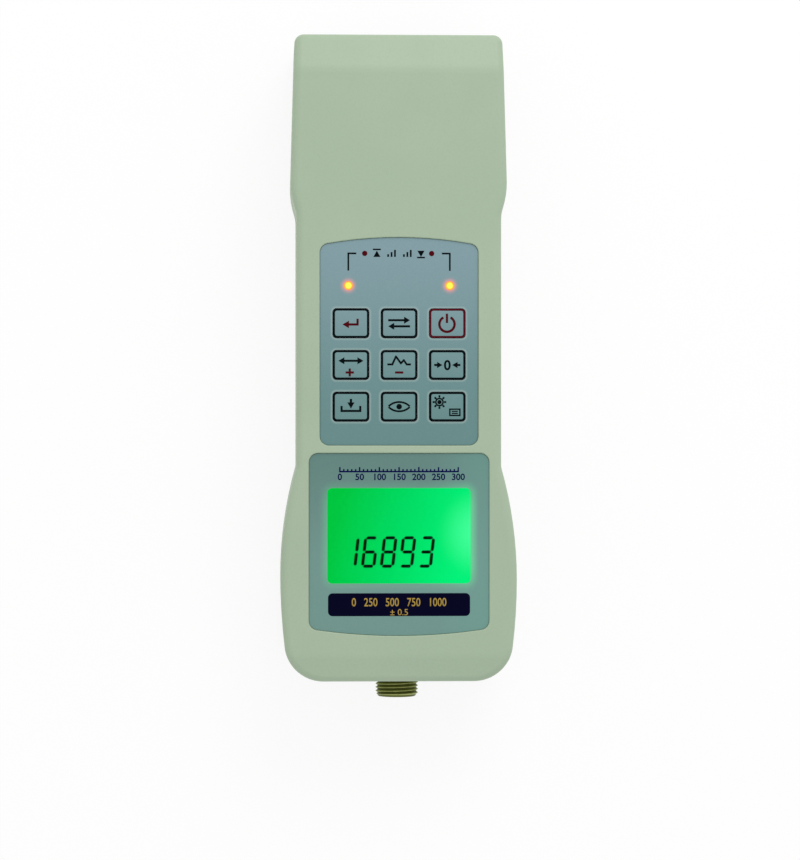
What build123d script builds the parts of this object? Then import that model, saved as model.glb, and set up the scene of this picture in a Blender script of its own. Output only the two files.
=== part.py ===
"""Hand-held digital force gauge for a load cell that plugs in at the tail.

The gauge lies on its back. X is its width, +Y runs to the head, -Y to the
sensor socket, and +Z is the front face with keypad and display. The origin is
the middle of the overall length and width, on the flat rear face. Millimetres.
"""
import os
from math import cos, pi, sin, sqrt

from build123d import *

os.makedirs("parts", exist_ok=True)

# ---------------------------------------------------------------- dimensions
# Housing, seen from the front
housing_length = 180.8
head_end_width = 58.1        # across the very end of the head
head_width = 60.4            # across the foot of the head, its widest place
head_length = 41.4           # head end to where the shoulder starts to curve in
shoulder_length = 8.6        # length of that curve down to the waist
waist_width = 57.2
grip_width = 66.0            # widest place of the whole gauge
grip_length = 59.9           # tail end to where the grip swells out
grip_peak_height = 28.4      # tail end to the widest place
tail_arc_radius = 155.0      # side curve from the widest place to the tail
head_corner_radius = 2.6
tail_corner_radius = 10.9
shoulder_blend = 10.0        # hollow blend of shoulder into waist
grip_blend = 3.0             # hollow blend of waist into grip

# Housing, seen from the side
wall = 2.4
head_slope_length = 9.8      # front face falls away over this length
head_slope_drop = 3.0
tail_slope_length = 7.3
tail_slope_drop = 1.5
crease_blend = 8.0
front_edge_radius = 2.2
rear_edge_radius = 3.0
reveal = 0.3                 # height and depth of the shadow line between the shells
tongue_height = 1.2          # locating tongue of the rear shell
tongue_thickness = 1.0
tongue_clearance = 0.15
post_root = 0.7              # posts grow this far into the front wall
pick_margin = 1.0            # corners are picked this far either side of their place

# Fits
slip_gap = 0.1               # parts that drop into each other
press_gap = 0.05             # a screw or pin in its own plain bore
stack_gap = 0.3              # between the battery pack and what lies round it
board_gap = 0.8              # between the board's edge and the posts near it

# Keypad: a laminate glued into a pocket
keypad_margin = 6.51         # housing left beside the keypad at the waist
keypad_height = 57.97        # to the top of its arched upper edge
keypad_arch_radius = 115.0
panel_gap = 2.14             # housing strip between keypad and display panel
panel_corner_radius = 2.6
panel_recess = 0.5           # films lie this far below the housing face
lip_radius = 0.35            # rounded rim of both pockets
film_clearance = 0.1         # round each film in its pocket
circuit_thickness = 0.3
overlay_thickness = 0.3
panel_floor = 1.6            # housing left under the keypad
backing_margin = 1.5         # the thickened floor reaches this far round a pocket

# Keys
key_names = [["set", "units", "power"], ["plus", "minus", "zero"], ["save", "view", "light"]]
key_rows = len(key_names)
key_columns = len(key_names[0])
key_width = 10.0
key_height = 8.1
key_corner_radius = 1.0
key_pitch_across = 13.43
key_pitch_along = 11.61
key_row_height = 22.4        # keypad's lower edge to the middle row
key_proud = 0.25             # key face above the film
key_underlap = 0.05          # key reaches this far below the film
key_edge_radius = 0.18
key_gap = 0.15
key_travel = 0.35
dome_radius = 3.0
dome_height = 0.3

# Alarm lamps in the keypad
lamp_spacing = 28.26
lamp_height = 44.5           # keypad's lower edge to the lamps
lamp_radius = 1.15
lamp_body_size = 3.0
lamp_gap = 0.1

# Display panel
display_margin = 3.46        # housing left beside the display panel at the waist
display_height = 50.9        # straight upper edge to the lowest point of its arc
display_arc_radius = 160.0
display_tail_gap = 12.9      # tail end to that lowest point
display_film_thickness = 0.5
window_margin = 5.15         # panel left beside the window
window_height = 26.6
window_drop = 9.74           # panel's upper edge to the window
window_corner_radius = 1.4
lens_flange_thickness = 1.0
lens_flange_margin = 2.0     # flange reaches this far round the window
lens_ledge = 1.2             # housing under the lens flange
lens_seat_width = 1.3        # how much of the flange the ledge carries

# Display stack, from the lens down to the board
glass_margin = 1.7           # display glass is this much narrower, each side, than its panel
glass_height = 34.0
glass_thickness = 2.0
diffuser_thickness = 2.5
light_box_wall = 1.2
strip_thickness = 2.0
strip_end_gap = 2.0          # glass beyond each end of a contact strip
strip_inset = 0.5            # contact strip in from the glass's edge
strip_gap = 0.3              # between a contact strip and the light box
bezel_wall = 1.2
bezel_gap = 0.3
board_to_glass = 9.0

backlight_columns = 4
backlight_rows = 2
backlight_lamp_length = 3.5
backlight_lamp_width = 2.8
backlight_lamp_height = 0.9

# Main board
board_thickness = 1.6
board_side_gap = 1.7         # between the board and the waist's inner wall
board_corner_radius = 1.5
board_post_radius = 2.8
board_post_inset = 4.0       # board's side to its screws
board_screw_radius = 1.25
board_screw_length = 6.0
board_screw_head_radius = 2.3
board_screw_head_height = 1.6
board_screw_drag = 3.6       # board's head edge to its upper screws
chip_inset = 1.5             # board's head edge to the chips
chip_spacing = 19.0
chip_height = 1.2
processor_size = 10.0
memory_length = 8.0
memory_width = 5.3
connector_length = 16.0
connector_depth = 5.0
connector_height = 4.4
connector_bite = 2.6         # how far the tail goes in
connector_chamfer = 0.4
buzzer_radius = 6.0
buzzer_height = 7.5
buzzer_setback = 12.0        # upper board screws to the buzzer
buzzer_vent_radius = 1.0
capacitor_radius = 4.0
capacitor_height = 9.0
capacitor_x = -15.0
shield_length = 26.0
shield_width = 20.0
shield_height = 5.0
shield_wall = 0.3
shield_setback = 27.0        # lower board screws to the middle of the shield
header_length = 10.0
header_width = 5.0
header_height = 6.0
header_x = 11.0
sensor_header_setback = 7.0  # lower board screws to the sensor header

# Keypad tail and wires
tail_slot_width = 13.0
tail_slot_height = 1.6
tail_slot_rise = 2.6         # keypad's lower edge to the slot
tail_width = 12.0
tail_thickness = 0.25
wire_radius = 0.5
battery_wire_pitch = 3.0
battery_wire_run = 4.0       # straight run of each battery wire at both ends
battery_wire_bend = 2.5
sensor_wire_pitch = 2.5
sensor_wire_run = 0.9        # straight run out of each solder cup
sensor_wire_fall = 3.4       # length over which the wires drop behind the board
sensor_wire_bend = 1.2
sensor_wire_slots = (1.5, 0.5, -1.5, -0.5)   # each wire's place in its header, in pitches
cable_thickness = 0.5        # flat cable from the port board
cable_width = 6.0
cable_wall_gap = 0.3         # between the cable and the waist's inner wall
cable_drop = 2.0             # cable's upper edge under the board
cable_bend = 3.0

# Case screws, from the rear through posts of the rear shell
case_post_radius = 3.6
case_screw_radius = 1.5
case_screw_length = 16.0
case_screw_head_radius = 2.8
case_screw_head_height = 2.2
case_screw_seat = 10.0       # rear face to the seat of the screw head
case_head_gap = 0.3          # round the screw head in its counterbore
case_clearance = 0.2         # round the screw's shank in the rear shell
case_pilot_extra = 1.0       # pilot bore beyond the screw's tip
head_post_spacing = 46.2
head_post_drop = 10.4        # head end to the upper posts
waist_post_inset = 7.1       # waist's side to the posts there
tail_post_spacing = 47.0

# Battery pack: two layers of three cells in a shrink sleeve
cell_diameter = 14.5
cell_length = 50.0
cells_across = 3
cell_pole_radius = 2.75
cell_pole_height = 0.8
sleeve_thickness = 0.3
sleeve_corner_radius = 6.5
pack_head_gap = 18.6         # head end to the pack
pad_thickness = 1.2
pad_width = 38.0
pad_length = 26.0
cradle_rib = 1.2
cradle_rib_height = 6.0
cradle_rib_length = 30.0

# Stand mount: four threaded inserts in the rear shell
mount_width = 36.0
mount_length = 60.0
mount_centre_height = 60.0   # tail end to the middle of the pattern
insert_radius = 3.0
insert_bore_radius = 2.0
insert_length = 7.0
insert_boss_wall = 1.8

# Sensor socket: a panel connector with an M12 x 1 outside thread
socket_radius = 6.0
socket_bore_radius = 4.7
socket_reach = 5.2           # mouth beyond the tail end
socket_length = 14.8
socket_chamfer = 0.6
thread_relief = 0.2          # plain neck begins this far outside the tail wall
neck_radius = 5.5
flange_size = 16.0
flange_thickness = 2.0
flange_corner_radius = 1.5
seal_radius = 7.6
seal_thickness = 1.0
socket_hole_gap = 0.15
socket_depth = 6.5           # mouth to the face of the insert
pin_ring_radius = 2.9
pin_radius = 0.5
pin_count = 4
pin_recess = 1.0             # pin tips inside the mouth
solder_cup_length = 2.6
clamp_rib_thickness = 2.0

# Ports at the head end, on a small board of their own
port_board_width = 37.6
port_board_height = 1.2      # height of its standoffs
port_board_thickness = 1.6
port_board_end_gap = 0.5     # to the end wall
port_board_length = 13.5
port_flush = 0.3             # port mouths inside the outer face
port_wall_gap = 0.25         # round each port in the end wall
usb_x = -8.0
usb_width = 12.0
usb_height = 10.9
usb_length = 15.6
usb_mouth_width = 8.5
usb_mouth_height = 7.8
usb_mouth_depth = 9.0
usb_mouth_bevel = 1.8
usb_tongue_width = 5.6
usb_tongue_height = 3.2
usb_tongue_recess = 0.8      # tongue's end inside the mouth
jack_x = 9.0
jack_width = 9.0
jack_height = 11.0
jack_length = 14.2
jack_bore_radius = 3.15
jack_bore_height = 6.5       # board to the bore's axis
jack_bore_depth = 9.5
jack_pin_radius = 1.0
jack_pin_recess = 0.6        # pin's tip inside the mouth
standoff_radius = 2.2
port_screw_radius = 1.0
port_screw_length = 3.2
port_screw_head_radius = 1.9
port_screw_head_height = 1.3
port_header_x = 1.3
port_header_length = 4.4
port_header_width = 3.0
port_header_height = 10.0

# ------------------------------------------------------------ derived places
overall_length = housing_length + socket_reach
head_end = overall_length / 2
tail_end = head_end - housing_length
mouth_y = tail_end - socket_reach

keypad_width = waist_width - 2 * keypad_margin
display_width = waist_width - 2 * display_margin
window_width = display_width - 2 * window_margin
glass_width = display_width - 2 * glass_margin
strip_length = glass_width - 2 * strip_end_gap
light_box_height = glass_height - 2 * (strip_inset + strip_thickness + strip_gap)
board_width = waist_width - 2 * (wall + board_side_gap)
board_post_spacing = board_width - 2 * board_post_inset
waist_post_spacing = waist_width - 2 * waist_post_inset

sleeve_width = cells_across * cell_diameter + 2 * sleeve_thickness
sleeve_height = 2 * cell_diameter + 2 * sleeve_thickness
sleeve_length = cell_length + cell_pole_height + 2 * sleeve_thickness
spacer_thickness = dome_height + key_travel + key_underlap
keypad_depth = panel_recess + overlay_thickness + spacer_thickness + circuit_thickness
front_stack = max(wall + pad_thickness + slip_gap, keypad_depth + panel_floor + stack_gap)
thickness = wall + stack_gap + sleeve_height + front_stack
parting_height = thickness / 2
socket_height = parting_height
post_root_z = thickness - wall + post_root

shoulder_top = head_end - head_length
shoulder_foot = shoulder_top - shoulder_length
grip_top = tail_end + grip_length
grip_peak = tail_end + grip_peak_height
tail_sweep = tail_arc_radius - sqrt(tail_arc_radius**2 - grip_peak_height**2)
tail_half_width = grip_width / 2 - tail_sweep

display_low = tail_end + display_tail_gap
display_high = display_low + display_height
keypad_low = display_high + panel_gap
keypad_high = keypad_low + keypad_height
window_centre_y = display_high - window_drop - window_height / 2
key_centre_y = keypad_low + key_row_height
lamp_y = keypad_low + lamp_height
tail_slot_y = keypad_low + tail_slot_rise

keypad_floor_z = thickness - keypad_depth
spacer_z = keypad_floor_z + circuit_thickness
overlay_z = spacer_z + spacer_thickness
film_top_z = thickness - panel_recess
display_floor_z = film_top_z - display_film_thickness
lens_floor_z = display_floor_z - lens_flange_thickness
lens_backing_z = lens_floor_z - lens_ledge
flange_width = window_width + 2 * lens_flange_margin
flange_height = window_height + 2 * lens_flange_margin
flange_corner = window_corner_radius + lens_flange_margin

glass_top_z = lens_backing_z - 2 * slip_gap
glass_z = glass_top_z - glass_thickness
board_top_z = glass_z - board_to_glass
board_z = board_top_z - board_thickness
bezel_width = glass_width + 2 * (bezel_gap + bezel_wall)
bezel_height = glass_height + 2 * (bezel_gap + bezel_wall)

pack_high_y = head_end - pack_head_gap
pack_low_y = pack_high_y - sleeve_length
pack_z = wall + stack_gap
waist_post_y = pack_low_y - board_gap - case_post_radius
board_high_y = waist_post_y - case_post_radius - board_gap
board_upper_screw_y = board_high_y - board_screw_drag
board_lower_screw_y = window_centre_y - bezel_height / 2 - board_gap - board_post_radius
board_low_y = board_lower_screw_y - board_post_radius - board_gap
tail_post_y = board_low_y - board_gap - case_post_radius
head_post_y = head_end - head_post_drop
case_posts = [(side * spacing / 2, y)
              for spacing, y in ((head_post_spacing, head_post_y),
                                 (waist_post_spacing, waist_post_y),
                                 (tail_post_spacing, tail_post_y))
              for side in (-1, 1)]
board_posts = [(side * board_post_spacing / 2, y)
               for y in (board_upper_screw_y, board_lower_screw_y)
               for side in (-1, 1)]
mount_centre_y = tail_end + mount_centre_height
sensor_header_y = board_lower_screw_y + sensor_header_setback
battery_header_y = board_upper_screw_y - header_width / 2
header_entry_z = board_z - header_height / 2

flange_y = tail_end + wall + seal_thickness
clamp_y = flange_y + flange_thickness + slip_gap
clamp_end_y = clamp_y + clamp_rib_thickness
port_board_z = wall + port_board_height
port_z = port_board_z + port_board_thickness
port_mouth_y = head_end - port_flush
port_board_y = head_end - wall - port_board_end_gap - port_board_length / 2
jack_axis_z = port_z + jack_bore_height


def save(builder, name):
    """Label a finished piece and write it as a STEP file of its own."""
    builder.part.label = name
    export_step(builder.part, f"parts/{name}.step")


# ------------------------------------------------------------ housing outline
with BuildSketch() as housing_outline:
    with BuildLine():
        Line((0, tail_end), (0, head_end))
        Line((0, head_end), (head_end_width / 2, head_end))
        Line((head_end_width / 2, head_end), (head_width / 2, shoulder_top))
        TangentArc((head_width / 2, shoulder_top), (waist_width / 2, shoulder_foot), tangent=(0, -1))
        Line((waist_width / 2, shoulder_foot), (waist_width / 2, grip_top))
        TangentArc((grip_width / 2, grip_peak), (waist_width / 2, grip_top), tangent=(0, 1))
        TangentArc((grip_width / 2, grip_peak), (tail_half_width, tail_end), tangent=(0, -1))
        Line((tail_half_width, tail_end), (0, tail_end))
    make_face()
    mirror(about=Plane.YZ)
    for corner_y, blend in ((shoulder_foot, shoulder_blend), (grip_top, grip_blend)):
        corners = housing_outline.vertices().filter_by_position(
            Axis.Y, corner_y - pick_margin, corner_y + pick_margin)
        fillet(corners, blend)


def housing_plan(inset, height):
    """Housing outline drawn in by inset, on a level plane at the given height."""
    with BuildSketch(Plane.XY.offset(height)) as plan:
        add(housing_outline.sketch)
        if inset:
            offset(amount=-inset)
        fillet(plan.vertices().group_by(Axis.Y)[-1], max(head_corner_radius - inset, wall / 4))
        fillet(plan.vertices().group_by(Axis.Y)[0], max(tail_corner_radius - inset, wall / 4))
    return plan.sketch


def housing_block(inset):
    """Housing as one block with its sloping ends, drawn in by inset."""
    with BuildPart() as block:
        extrude(housing_plan(inset, 0), amount=thickness)
        with BuildSketch(Plane.YZ) as side:
            with BuildLine():
                Polyline((tail_end, 0), (head_end, 0), (head_end, thickness - head_slope_drop),
                         (head_end - head_slope_length, thickness),
                         (tail_end + tail_slope_length, thickness),
                         (tail_end, thickness - tail_slope_drop), close=True)
            make_face()
            fillet(side.vertices().group_by(Axis.Y)[-1], crease_blend)
            if inset:
                offset(amount=-inset)
        extrude(amount=grip_width, both=True, mode=Mode.INTERSECT)
    return block.part


def on_front_rim(edge):
    """True for an edge round the front face, false for a seam across it."""
    centre = edge.center()
    across = abs(centre.X) < wall and tail_end + wall < centre.Y < head_end - wall
    return centre.Z > thickness - 2 * head_slope_drop and not across


with BuildPart() as housing_form:
    add(housing_block(0))
    fillet([edge for edge in housing_form.edges() if on_front_rim(edge)], front_edge_radius)
    fillet(housing_form.edges().group_by(Axis.Z)[0], rear_edge_radius)
cavity_form = housing_block(wall)

# ------------------------------------------------------------- panel outlines
with BuildSketch() as keypad_outline:
    with BuildLine():
        arch_half = keypad_width / 2
        arch_rise = keypad_arch_radius - sqrt(keypad_arch_radius**2 - arch_half**2)
        ThreePointArc((-arch_half, keypad_high - arch_rise), (0, keypad_high),
                      (arch_half, keypad_high - arch_rise))
        Polyline((arch_half, keypad_high - arch_rise), (arch_half, keypad_low),
                 (-arch_half, keypad_low), (-arch_half, keypad_high - arch_rise))
    make_face()
    fillet(keypad_outline.vertices(), panel_corner_radius)

with BuildSketch() as display_outline:
    with BuildLine():
        sag_half = display_width / 2
        sag = display_arc_radius - sqrt(display_arc_radius**2 - sag_half**2)
        ThreePointArc((-sag_half, display_low + sag), (0, display_low), (sag_half, display_low + sag))
        Polyline((sag_half, display_low + sag), (sag_half, display_high),
                 (-sag_half, display_high), (-sag_half, display_low + sag))
    make_face()
    fillet(display_outline.vertices(), panel_corner_radius)

# ----------------------------------------------------------------- front shell
with BuildPart() as front_shell:
    add(housing_form.part)
    add(cavity_form, mode=Mode.SUBTRACT)
    split(bisect_by=Plane.XY.offset(parting_height), keep=Keep.TOP)
    # floor thickened behind the keypad and round the display window
    with BuildSketch(Plane.XY.offset(keypad_floor_z - panel_floor)):
        add(keypad_outline.sketch)
        offset(amount=backing_margin)
    extrude(amount=panel_floor)
    with BuildSketch(Plane.XY.offset(lens_backing_z)):
        with Locations((0, window_centre_y)):
            RectangleRounded(flange_width + 2 * backing_margin, flange_height + 2 * backing_margin,
                             flange_corner + backing_margin)
    extrude(amount=lens_ledge + lens_flange_thickness / 2)
    # posts for the case screws, up to the inner face
    with BuildSketch(Plane.XY.offset(parting_height)):
        with Locations(*case_posts):
            Circle(case_post_radius)
    extrude(amount=post_root_z - parting_height)
    # posts that carry the main board
    with BuildSketch(Plane.XY.offset(board_top_z)):
        with Locations(*board_posts):
            Circle(board_post_radius)
    extrude(amount=post_root_z - board_top_z)
    # clamp ribs either side of the socket flange's upper half
    with BuildSketch(Plane.XY.offset(socket_height + flange_size / 4)):
        with Locations((0, (clamp_y + clamp_end_y) / 2)):
            Rectangle(flange_size + 2 * wall, clamp_rib_thickness)
    extrude(amount=post_root_z - socket_height - flange_size / 4)
    # pockets for the two panels
    with BuildSketch(Plane.XY.offset(keypad_floor_z)):
        add(keypad_outline.sketch)
    extrude(amount=keypad_depth, mode=Mode.SUBTRACT)
    with BuildSketch(Plane.XY.offset(display_floor_z)):
        add(display_outline.sketch)
    extrude(amount=thickness - display_floor_z, mode=Mode.SUBTRACT)
    rims = [edge for edge in front_shell.edges().group_by(Axis.Z)[-1]
            if abs(edge.center().X) <= display_width / 2 + wall / 4
            and display_low - wall < edge.center().Y < keypad_high + wall / 4]
    fillet(rims, lip_radius)
    # seat and opening for the display lens
    with BuildSketch(Plane.XY.offset(lens_floor_z)):
        with Locations((0, window_centre_y)):
            RectangleRounded(flange_width + 2 * slip_gap, flange_height + 2 * slip_gap,
                             flange_corner + slip_gap)
    extrude(amount=lens_flange_thickness, mode=Mode.SUBTRACT)
    with BuildSketch(Plane.XY.offset(lens_backing_z)):
        with Locations((0, window_centre_y)):
            RectangleRounded(flange_width - 2 * lens_seat_width, flange_height - 2 * lens_seat_width,
                             flange_corner - lens_seat_width)
    extrude(amount=lens_ledge, mode=Mode.SUBTRACT)
    # slot for the keypad's flexible tail
    with BuildSketch(Plane.XY.offset(keypad_floor_z - panel_floor)):
        with Locations((0, tail_slot_y)):
            Rectangle(tail_slot_width, tail_slot_height)
    extrude(amount=panel_floor, mode=Mode.SUBTRACT)
    # pilot bores of the two kinds of post
    with BuildSketch(Plane.XY.offset(parting_height)):
        with Locations(*case_posts):
            Circle(case_screw_radius + press_gap)
    extrude(amount=case_screw_seat + case_screw_length + case_pilot_extra - parting_height,
            mode=Mode.SUBTRACT)
    with BuildSketch(Plane.XY.offset(board_top_z)):
        with Locations(*board_posts):
            Circle(board_screw_radius + press_gap)
    extrude(amount=board_screw_length, mode=Mode.SUBTRACT)
    # groove for the rear shell's tongue
    groove_depth = wall - tongue_thickness - tongue_clearance
    with BuildSketch(Plane.XY.offset(parting_height)):
        add(housing_plan(groove_depth, 0))
        add(housing_plan(wall + slip_gap, 0), mode=Mode.SUBTRACT)
    extrude(amount=tongue_height + tongue_clearance, mode=Mode.SUBTRACT)
    # shadow line along the joint, outside
    with BuildSketch(Plane.XY.offset(parting_height)):
        add(housing_plan(0, 0))
        add(housing_plan(reveal, 0), mode=Mode.SUBTRACT)
    extrude(amount=reveal, mode=Mode.SUBTRACT)
    # half of the socket's hole through the tail wall
    with BuildSketch(Plane.XZ.offset(-clamp_end_y)):
        with Locations((0, socket_height)):
            Circle(socket_radius + socket_hole_gap)
    extrude(amount=clamp_end_y - tail_end + wall, mode=Mode.SUBTRACT)
save(front_shell, "front_shell")

# ------------------------------------------------------------------ rear shell
with BuildPart() as rear_shell:
    add(housing_form.part)
    add(cavity_form, mode=Mode.SUBTRACT)
    split(bisect_by=Plane.XY.offset(parting_height), keep=Keep.BOTTOM)
    # tongue that locates the front shell
    with BuildSketch(Plane.XY.offset(parting_height - tongue_height)):
        add(housing_plan(wall - tongue_thickness, 0))
        add(housing_plan(wall, 0), mode=Mode.SUBTRACT)
    extrude(amount=2 * tongue_height)
    # posts for the case screws
    with BuildSketch(Plane.XY.offset(wall / 2)):
        with Locations(*case_posts):
            Circle(case_post_radius)
    extrude(amount=parting_height - wall / 2)
    # bosses for the stand mount's inserts
    with BuildSketch(Plane.XY.offset(wall / 2)):
        with Locations((0, mount_centre_y)):
            with GridLocations(mount_width, mount_length, 2, 2):
                Circle(insert_radius + insert_boss_wall)
    extrude(amount=insert_length + wall / 2)
    # cradle for the battery pack: a rib at each end and one along each side
    with BuildSketch(Plane.XY.offset(wall / 2)):
        end_rib_pitch = sleeve_length + 2 * slip_gap + cradle_rib
        side_rib_pitch = sleeve_width + 2 * slip_gap + cradle_rib
        with Locations((0, (pack_low_y + pack_high_y) / 2)):
            with GridLocations(1, end_rib_pitch, 1, 2):
                Rectangle(cradle_rib_length, cradle_rib)
            with GridLocations(side_rib_pitch, 1, 2, 1):
                Rectangle(cradle_rib, cradle_rib_length)
    extrude(amount=cradle_rib_height + wall / 2)
    # pads under the battery pack
    with BuildSketch(Plane.XY.offset(wall / 2)):
        with Locations((0, (pack_low_y + pack_high_y) / 2)):
            with GridLocations(1, cradle_rib_length, 1, 2):
                Rectangle(cradle_rib_length, cradle_rib)
    extrude(amount=wall / 2 + stack_gap - slip_gap)
    # clamp ribs behind the socket flange
    with BuildSketch(Plane.XY.offset(wall / 2)):
        with Locations((0, (clamp_y + clamp_end_y) / 2)):
            Rectangle(flange_size + 2 * wall, clamp_rib_thickness)
    extrude(amount=socket_height - flange_size / 4 - wall / 2)
    # standoffs for the port board
    with BuildSketch(Plane.XY.offset(wall / 2)):
        with Locations((0, port_board_y)):
            with GridLocations(port_board_width - 2 * standoff_radius,
                               port_board_length - 2 * standoff_radius, 2, 2):
                Circle(standoff_radius)
    extrude(amount=port_board_z - wall / 2)
    with BuildSketch(Plane.XY.offset(port_z - port_screw_length)):
        with Locations((0, port_board_y)):
            with GridLocations(port_board_width - 2 * standoff_radius,
                               port_board_length - 2 * standoff_radius, 2, 2):
                Circle(port_screw_radius + press_gap)
    extrude(amount=port_screw_length, mode=Mode.SUBTRACT)
    # deep counterbores for the case screws
    with BuildSketch():
        with Locations(*case_posts):
            Circle(case_screw_head_radius + case_head_gap)
    extrude(amount=case_screw_seat, mode=Mode.SUBTRACT)
    with BuildSketch():
        with Locations(*case_posts):
            Circle(case_screw_radius + case_clearance)
    extrude(amount=parting_height, mode=Mode.SUBTRACT)
    # seats of the inserts
    with BuildSketch():
        with Locations((0, mount_centre_y)):
            with GridLocations(mount_width, mount_length, 2, 2):
                Circle(insert_radius)
    extrude(amount=insert_length, mode=Mode.SUBTRACT)
    # ports through the head end wall
    with BuildSketch(Plane.XZ.offset(-head_end - wall)):
        with Locations((usb_x, port_z + usb_height / 2)):
            Rectangle(usb_width + 2 * port_wall_gap, usb_height + 2 * port_wall_gap)
        with Locations((jack_x, port_z + jack_height / 2)):
            Rectangle(jack_width + 2 * port_wall_gap, jack_height + 2 * port_wall_gap)
    extrude(amount=3 * wall, mode=Mode.SUBTRACT)
    # half of the socket's hole through the tail wall
    with BuildSketch(Plane.XZ.offset(-clamp_end_y)):
        with Locations((0, socket_height)):
            Circle(socket_radius + socket_hole_gap)
    extrude(amount=clamp_end_y - tail_end + wall, mode=Mode.SUBTRACT)
save(rear_shell, "rear_shell")

# ---------------------------------------------------------------- front panels
with BuildPart() as keypad_circuit:
    with BuildSketch(Plane.XY.offset(keypad_floor_z)):
        add(keypad_outline.sketch)
        offset(amount=-film_clearance)
    extrude(amount=circuit_thickness)
save(keypad_circuit, "keypad_circuit")

with BuildPart() as keypad_spacer:
    with BuildSketch(Plane.XY.offset(spacer_z)):
        add(keypad_outline.sketch)
        offset(amount=-film_clearance)
        with Locations((0, key_centre_y)):
            with GridLocations(key_pitch_across, key_pitch_along, key_columns, key_rows):
                RectangleRounded(key_width + 2 * key_gap, key_height + 2 * key_gap,
                                 key_corner_radius + key_gap, mode=Mode.SUBTRACT)
        with Locations((0, lamp_y)):
            with GridLocations(lamp_spacing, 1, 2, 1):
                Rectangle(lamp_body_size + 2 * lamp_gap, lamp_body_size + 2 * lamp_gap,
                          mode=Mode.SUBTRACT)
    extrude(amount=spacer_thickness)
save(keypad_spacer, "keypad_spacer")

with BuildPart() as keypad_overlay:
    with BuildSketch(Plane.XY.offset(overlay_z)):
        add(keypad_outline.sketch)
        offset(amount=-film_clearance)
        with Locations((0, key_centre_y)):
            with GridLocations(key_pitch_across, key_pitch_along, key_columns, key_rows):
                RectangleRounded(key_width + 2 * key_gap, key_height + 2 * key_gap,
                                 key_corner_radius + key_gap, mode=Mode.SUBTRACT)
        with Locations((0, lamp_y)):
            with GridLocations(lamp_spacing, 1, 2, 1):
                Circle(lamp_radius + lamp_gap, mode=Mode.SUBTRACT)
    extrude(amount=overlay_thickness)
save(keypad_overlay, "keypad_overlay")

# snap domes under the keys: one shallow spherical cap each
dome_sphere = (dome_radius**2 + dome_height**2) / (2 * dome_height)
with BuildPart() as snap_domes:
    with BuildSketch(Plane.XZ):
        with BuildLine():
            Line((0, spacer_z), (dome_radius, spacer_z))
            RadiusArc((dome_radius, spacer_z), (0, spacer_z + dome_height), -dome_sphere)
            Line((0, spacer_z + dome_height), (0, spacer_z))
        make_face()
    dome = revolve(axis=Axis.Z, mode=Mode.PRIVATE)
    with Locations((0, key_centre_y)):
        with GridLocations(key_pitch_across, key_pitch_along, key_columns, key_rows):
            add(dome)
save(snap_domes, "snap_domes")

# nine embossed keys, each free to travel down to its dome
for row, names in enumerate(key_names):
    for column, name in enumerate(names):
        key_x = (column - 1) * key_pitch_across
        key_y = key_centre_y + (1 - row) * key_pitch_along
        with BuildPart() as key:
            with BuildSketch(Plane.XY.offset(overlay_z - key_underlap)):
                with Locations((key_x, key_y)):
                    RectangleRounded(key_width, key_height, key_corner_radius)
            extrude(amount=overlay_thickness + key_proud + key_underlap)
            fillet(key.edges().group_by(Axis.Z)[-1], key_edge_radius)
        save(key, f"key_{name}")

# alarm lamps: a flat chip with a round lens that shows through the film
for side, name in ((-1, "lamp_high"), (1, "lamp_low")):
    with BuildPart() as lamp:
        with BuildSketch(Plane.XY.offset(spacer_z)):
            with Locations((side * lamp_spacing / 2, lamp_y)):
                Rectangle(lamp_body_size, lamp_body_size)
        extrude(amount=spacer_thickness - slip_gap)
        with BuildSketch(Plane.XY.offset(spacer_z)):
            with Locations((side * lamp_spacing / 2, lamp_y)):
                Circle(lamp_radius)
        extrude(amount=film_top_z + key_proud - spacer_z)
        fillet(lamp.edges().group_by(Axis.Z)[-1], key_proud)
    save(lamp, name)

# flexible tail: straight down through its slot into an upright connector
tail_stop_z = board_top_z + connector_height - connector_bite
with BuildPart() as keypad_tail:
    with BuildSketch(Plane.XY.offset(tail_stop_z)):
        with Locations((0, tail_slot_y)):
            Rectangle(tail_width, tail_thickness)
    extrude(amount=keypad_floor_z - tail_stop_z)
save(keypad_tail, "keypad_tail")

with BuildPart() as display_overlay:
    with BuildSketch(Plane.XY.offset(display_floor_z)):
        add(display_outline.sketch)
        offset(amount=-film_clearance)
        with Locations((0, window_centre_y)):
            RectangleRounded(window_width, window_height, window_corner_radius, mode=Mode.SUBTRACT)
    extrude(amount=display_film_thickness)
save(display_overlay, "display_overlay")

with BuildPart() as lcd_window:
    with BuildSketch(Plane.XY.offset(lens_floor_z)):
        with Locations((0, window_centre_y)):
            RectangleRounded(flange_width, flange_height, flange_corner)
    extrude(amount=lens_flange_thickness - press_gap)
    with BuildSketch(Plane.XY.offset(lens_floor_z)):
        with Locations((0, window_centre_y)):
            RectangleRounded(window_width - 2 * press_gap, window_height - 2 * press_gap,
                             window_corner_radius - press_gap)
    extrude(amount=film_top_z - lens_floor_z)
save(lcd_window, "lcd_window")

# --------------------------------------------------------------- display stack
with BuildPart() as lcd_glass:
    with BuildSketch(Plane.XY.offset(glass_z)):
        with Locations((0, window_centre_y)):
            Rectangle(glass_width, glass_height)
    extrude(amount=glass_thickness)
save(lcd_glass, "lcd_glass")

with BuildPart() as backlight_diffuser:
    with BuildSketch(Plane.XY.offset(glass_z - diffuser_thickness)):
        with Locations((0, window_centre_y)):
            Rectangle(glass_width, light_box_height)
    extrude(amount=diffuser_thickness)
    chamfer(backlight_diffuser.edges().group_by(Axis.Z)[0], light_box_wall / 4)
save(backlight_diffuser, "backlight_diffuser")

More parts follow.
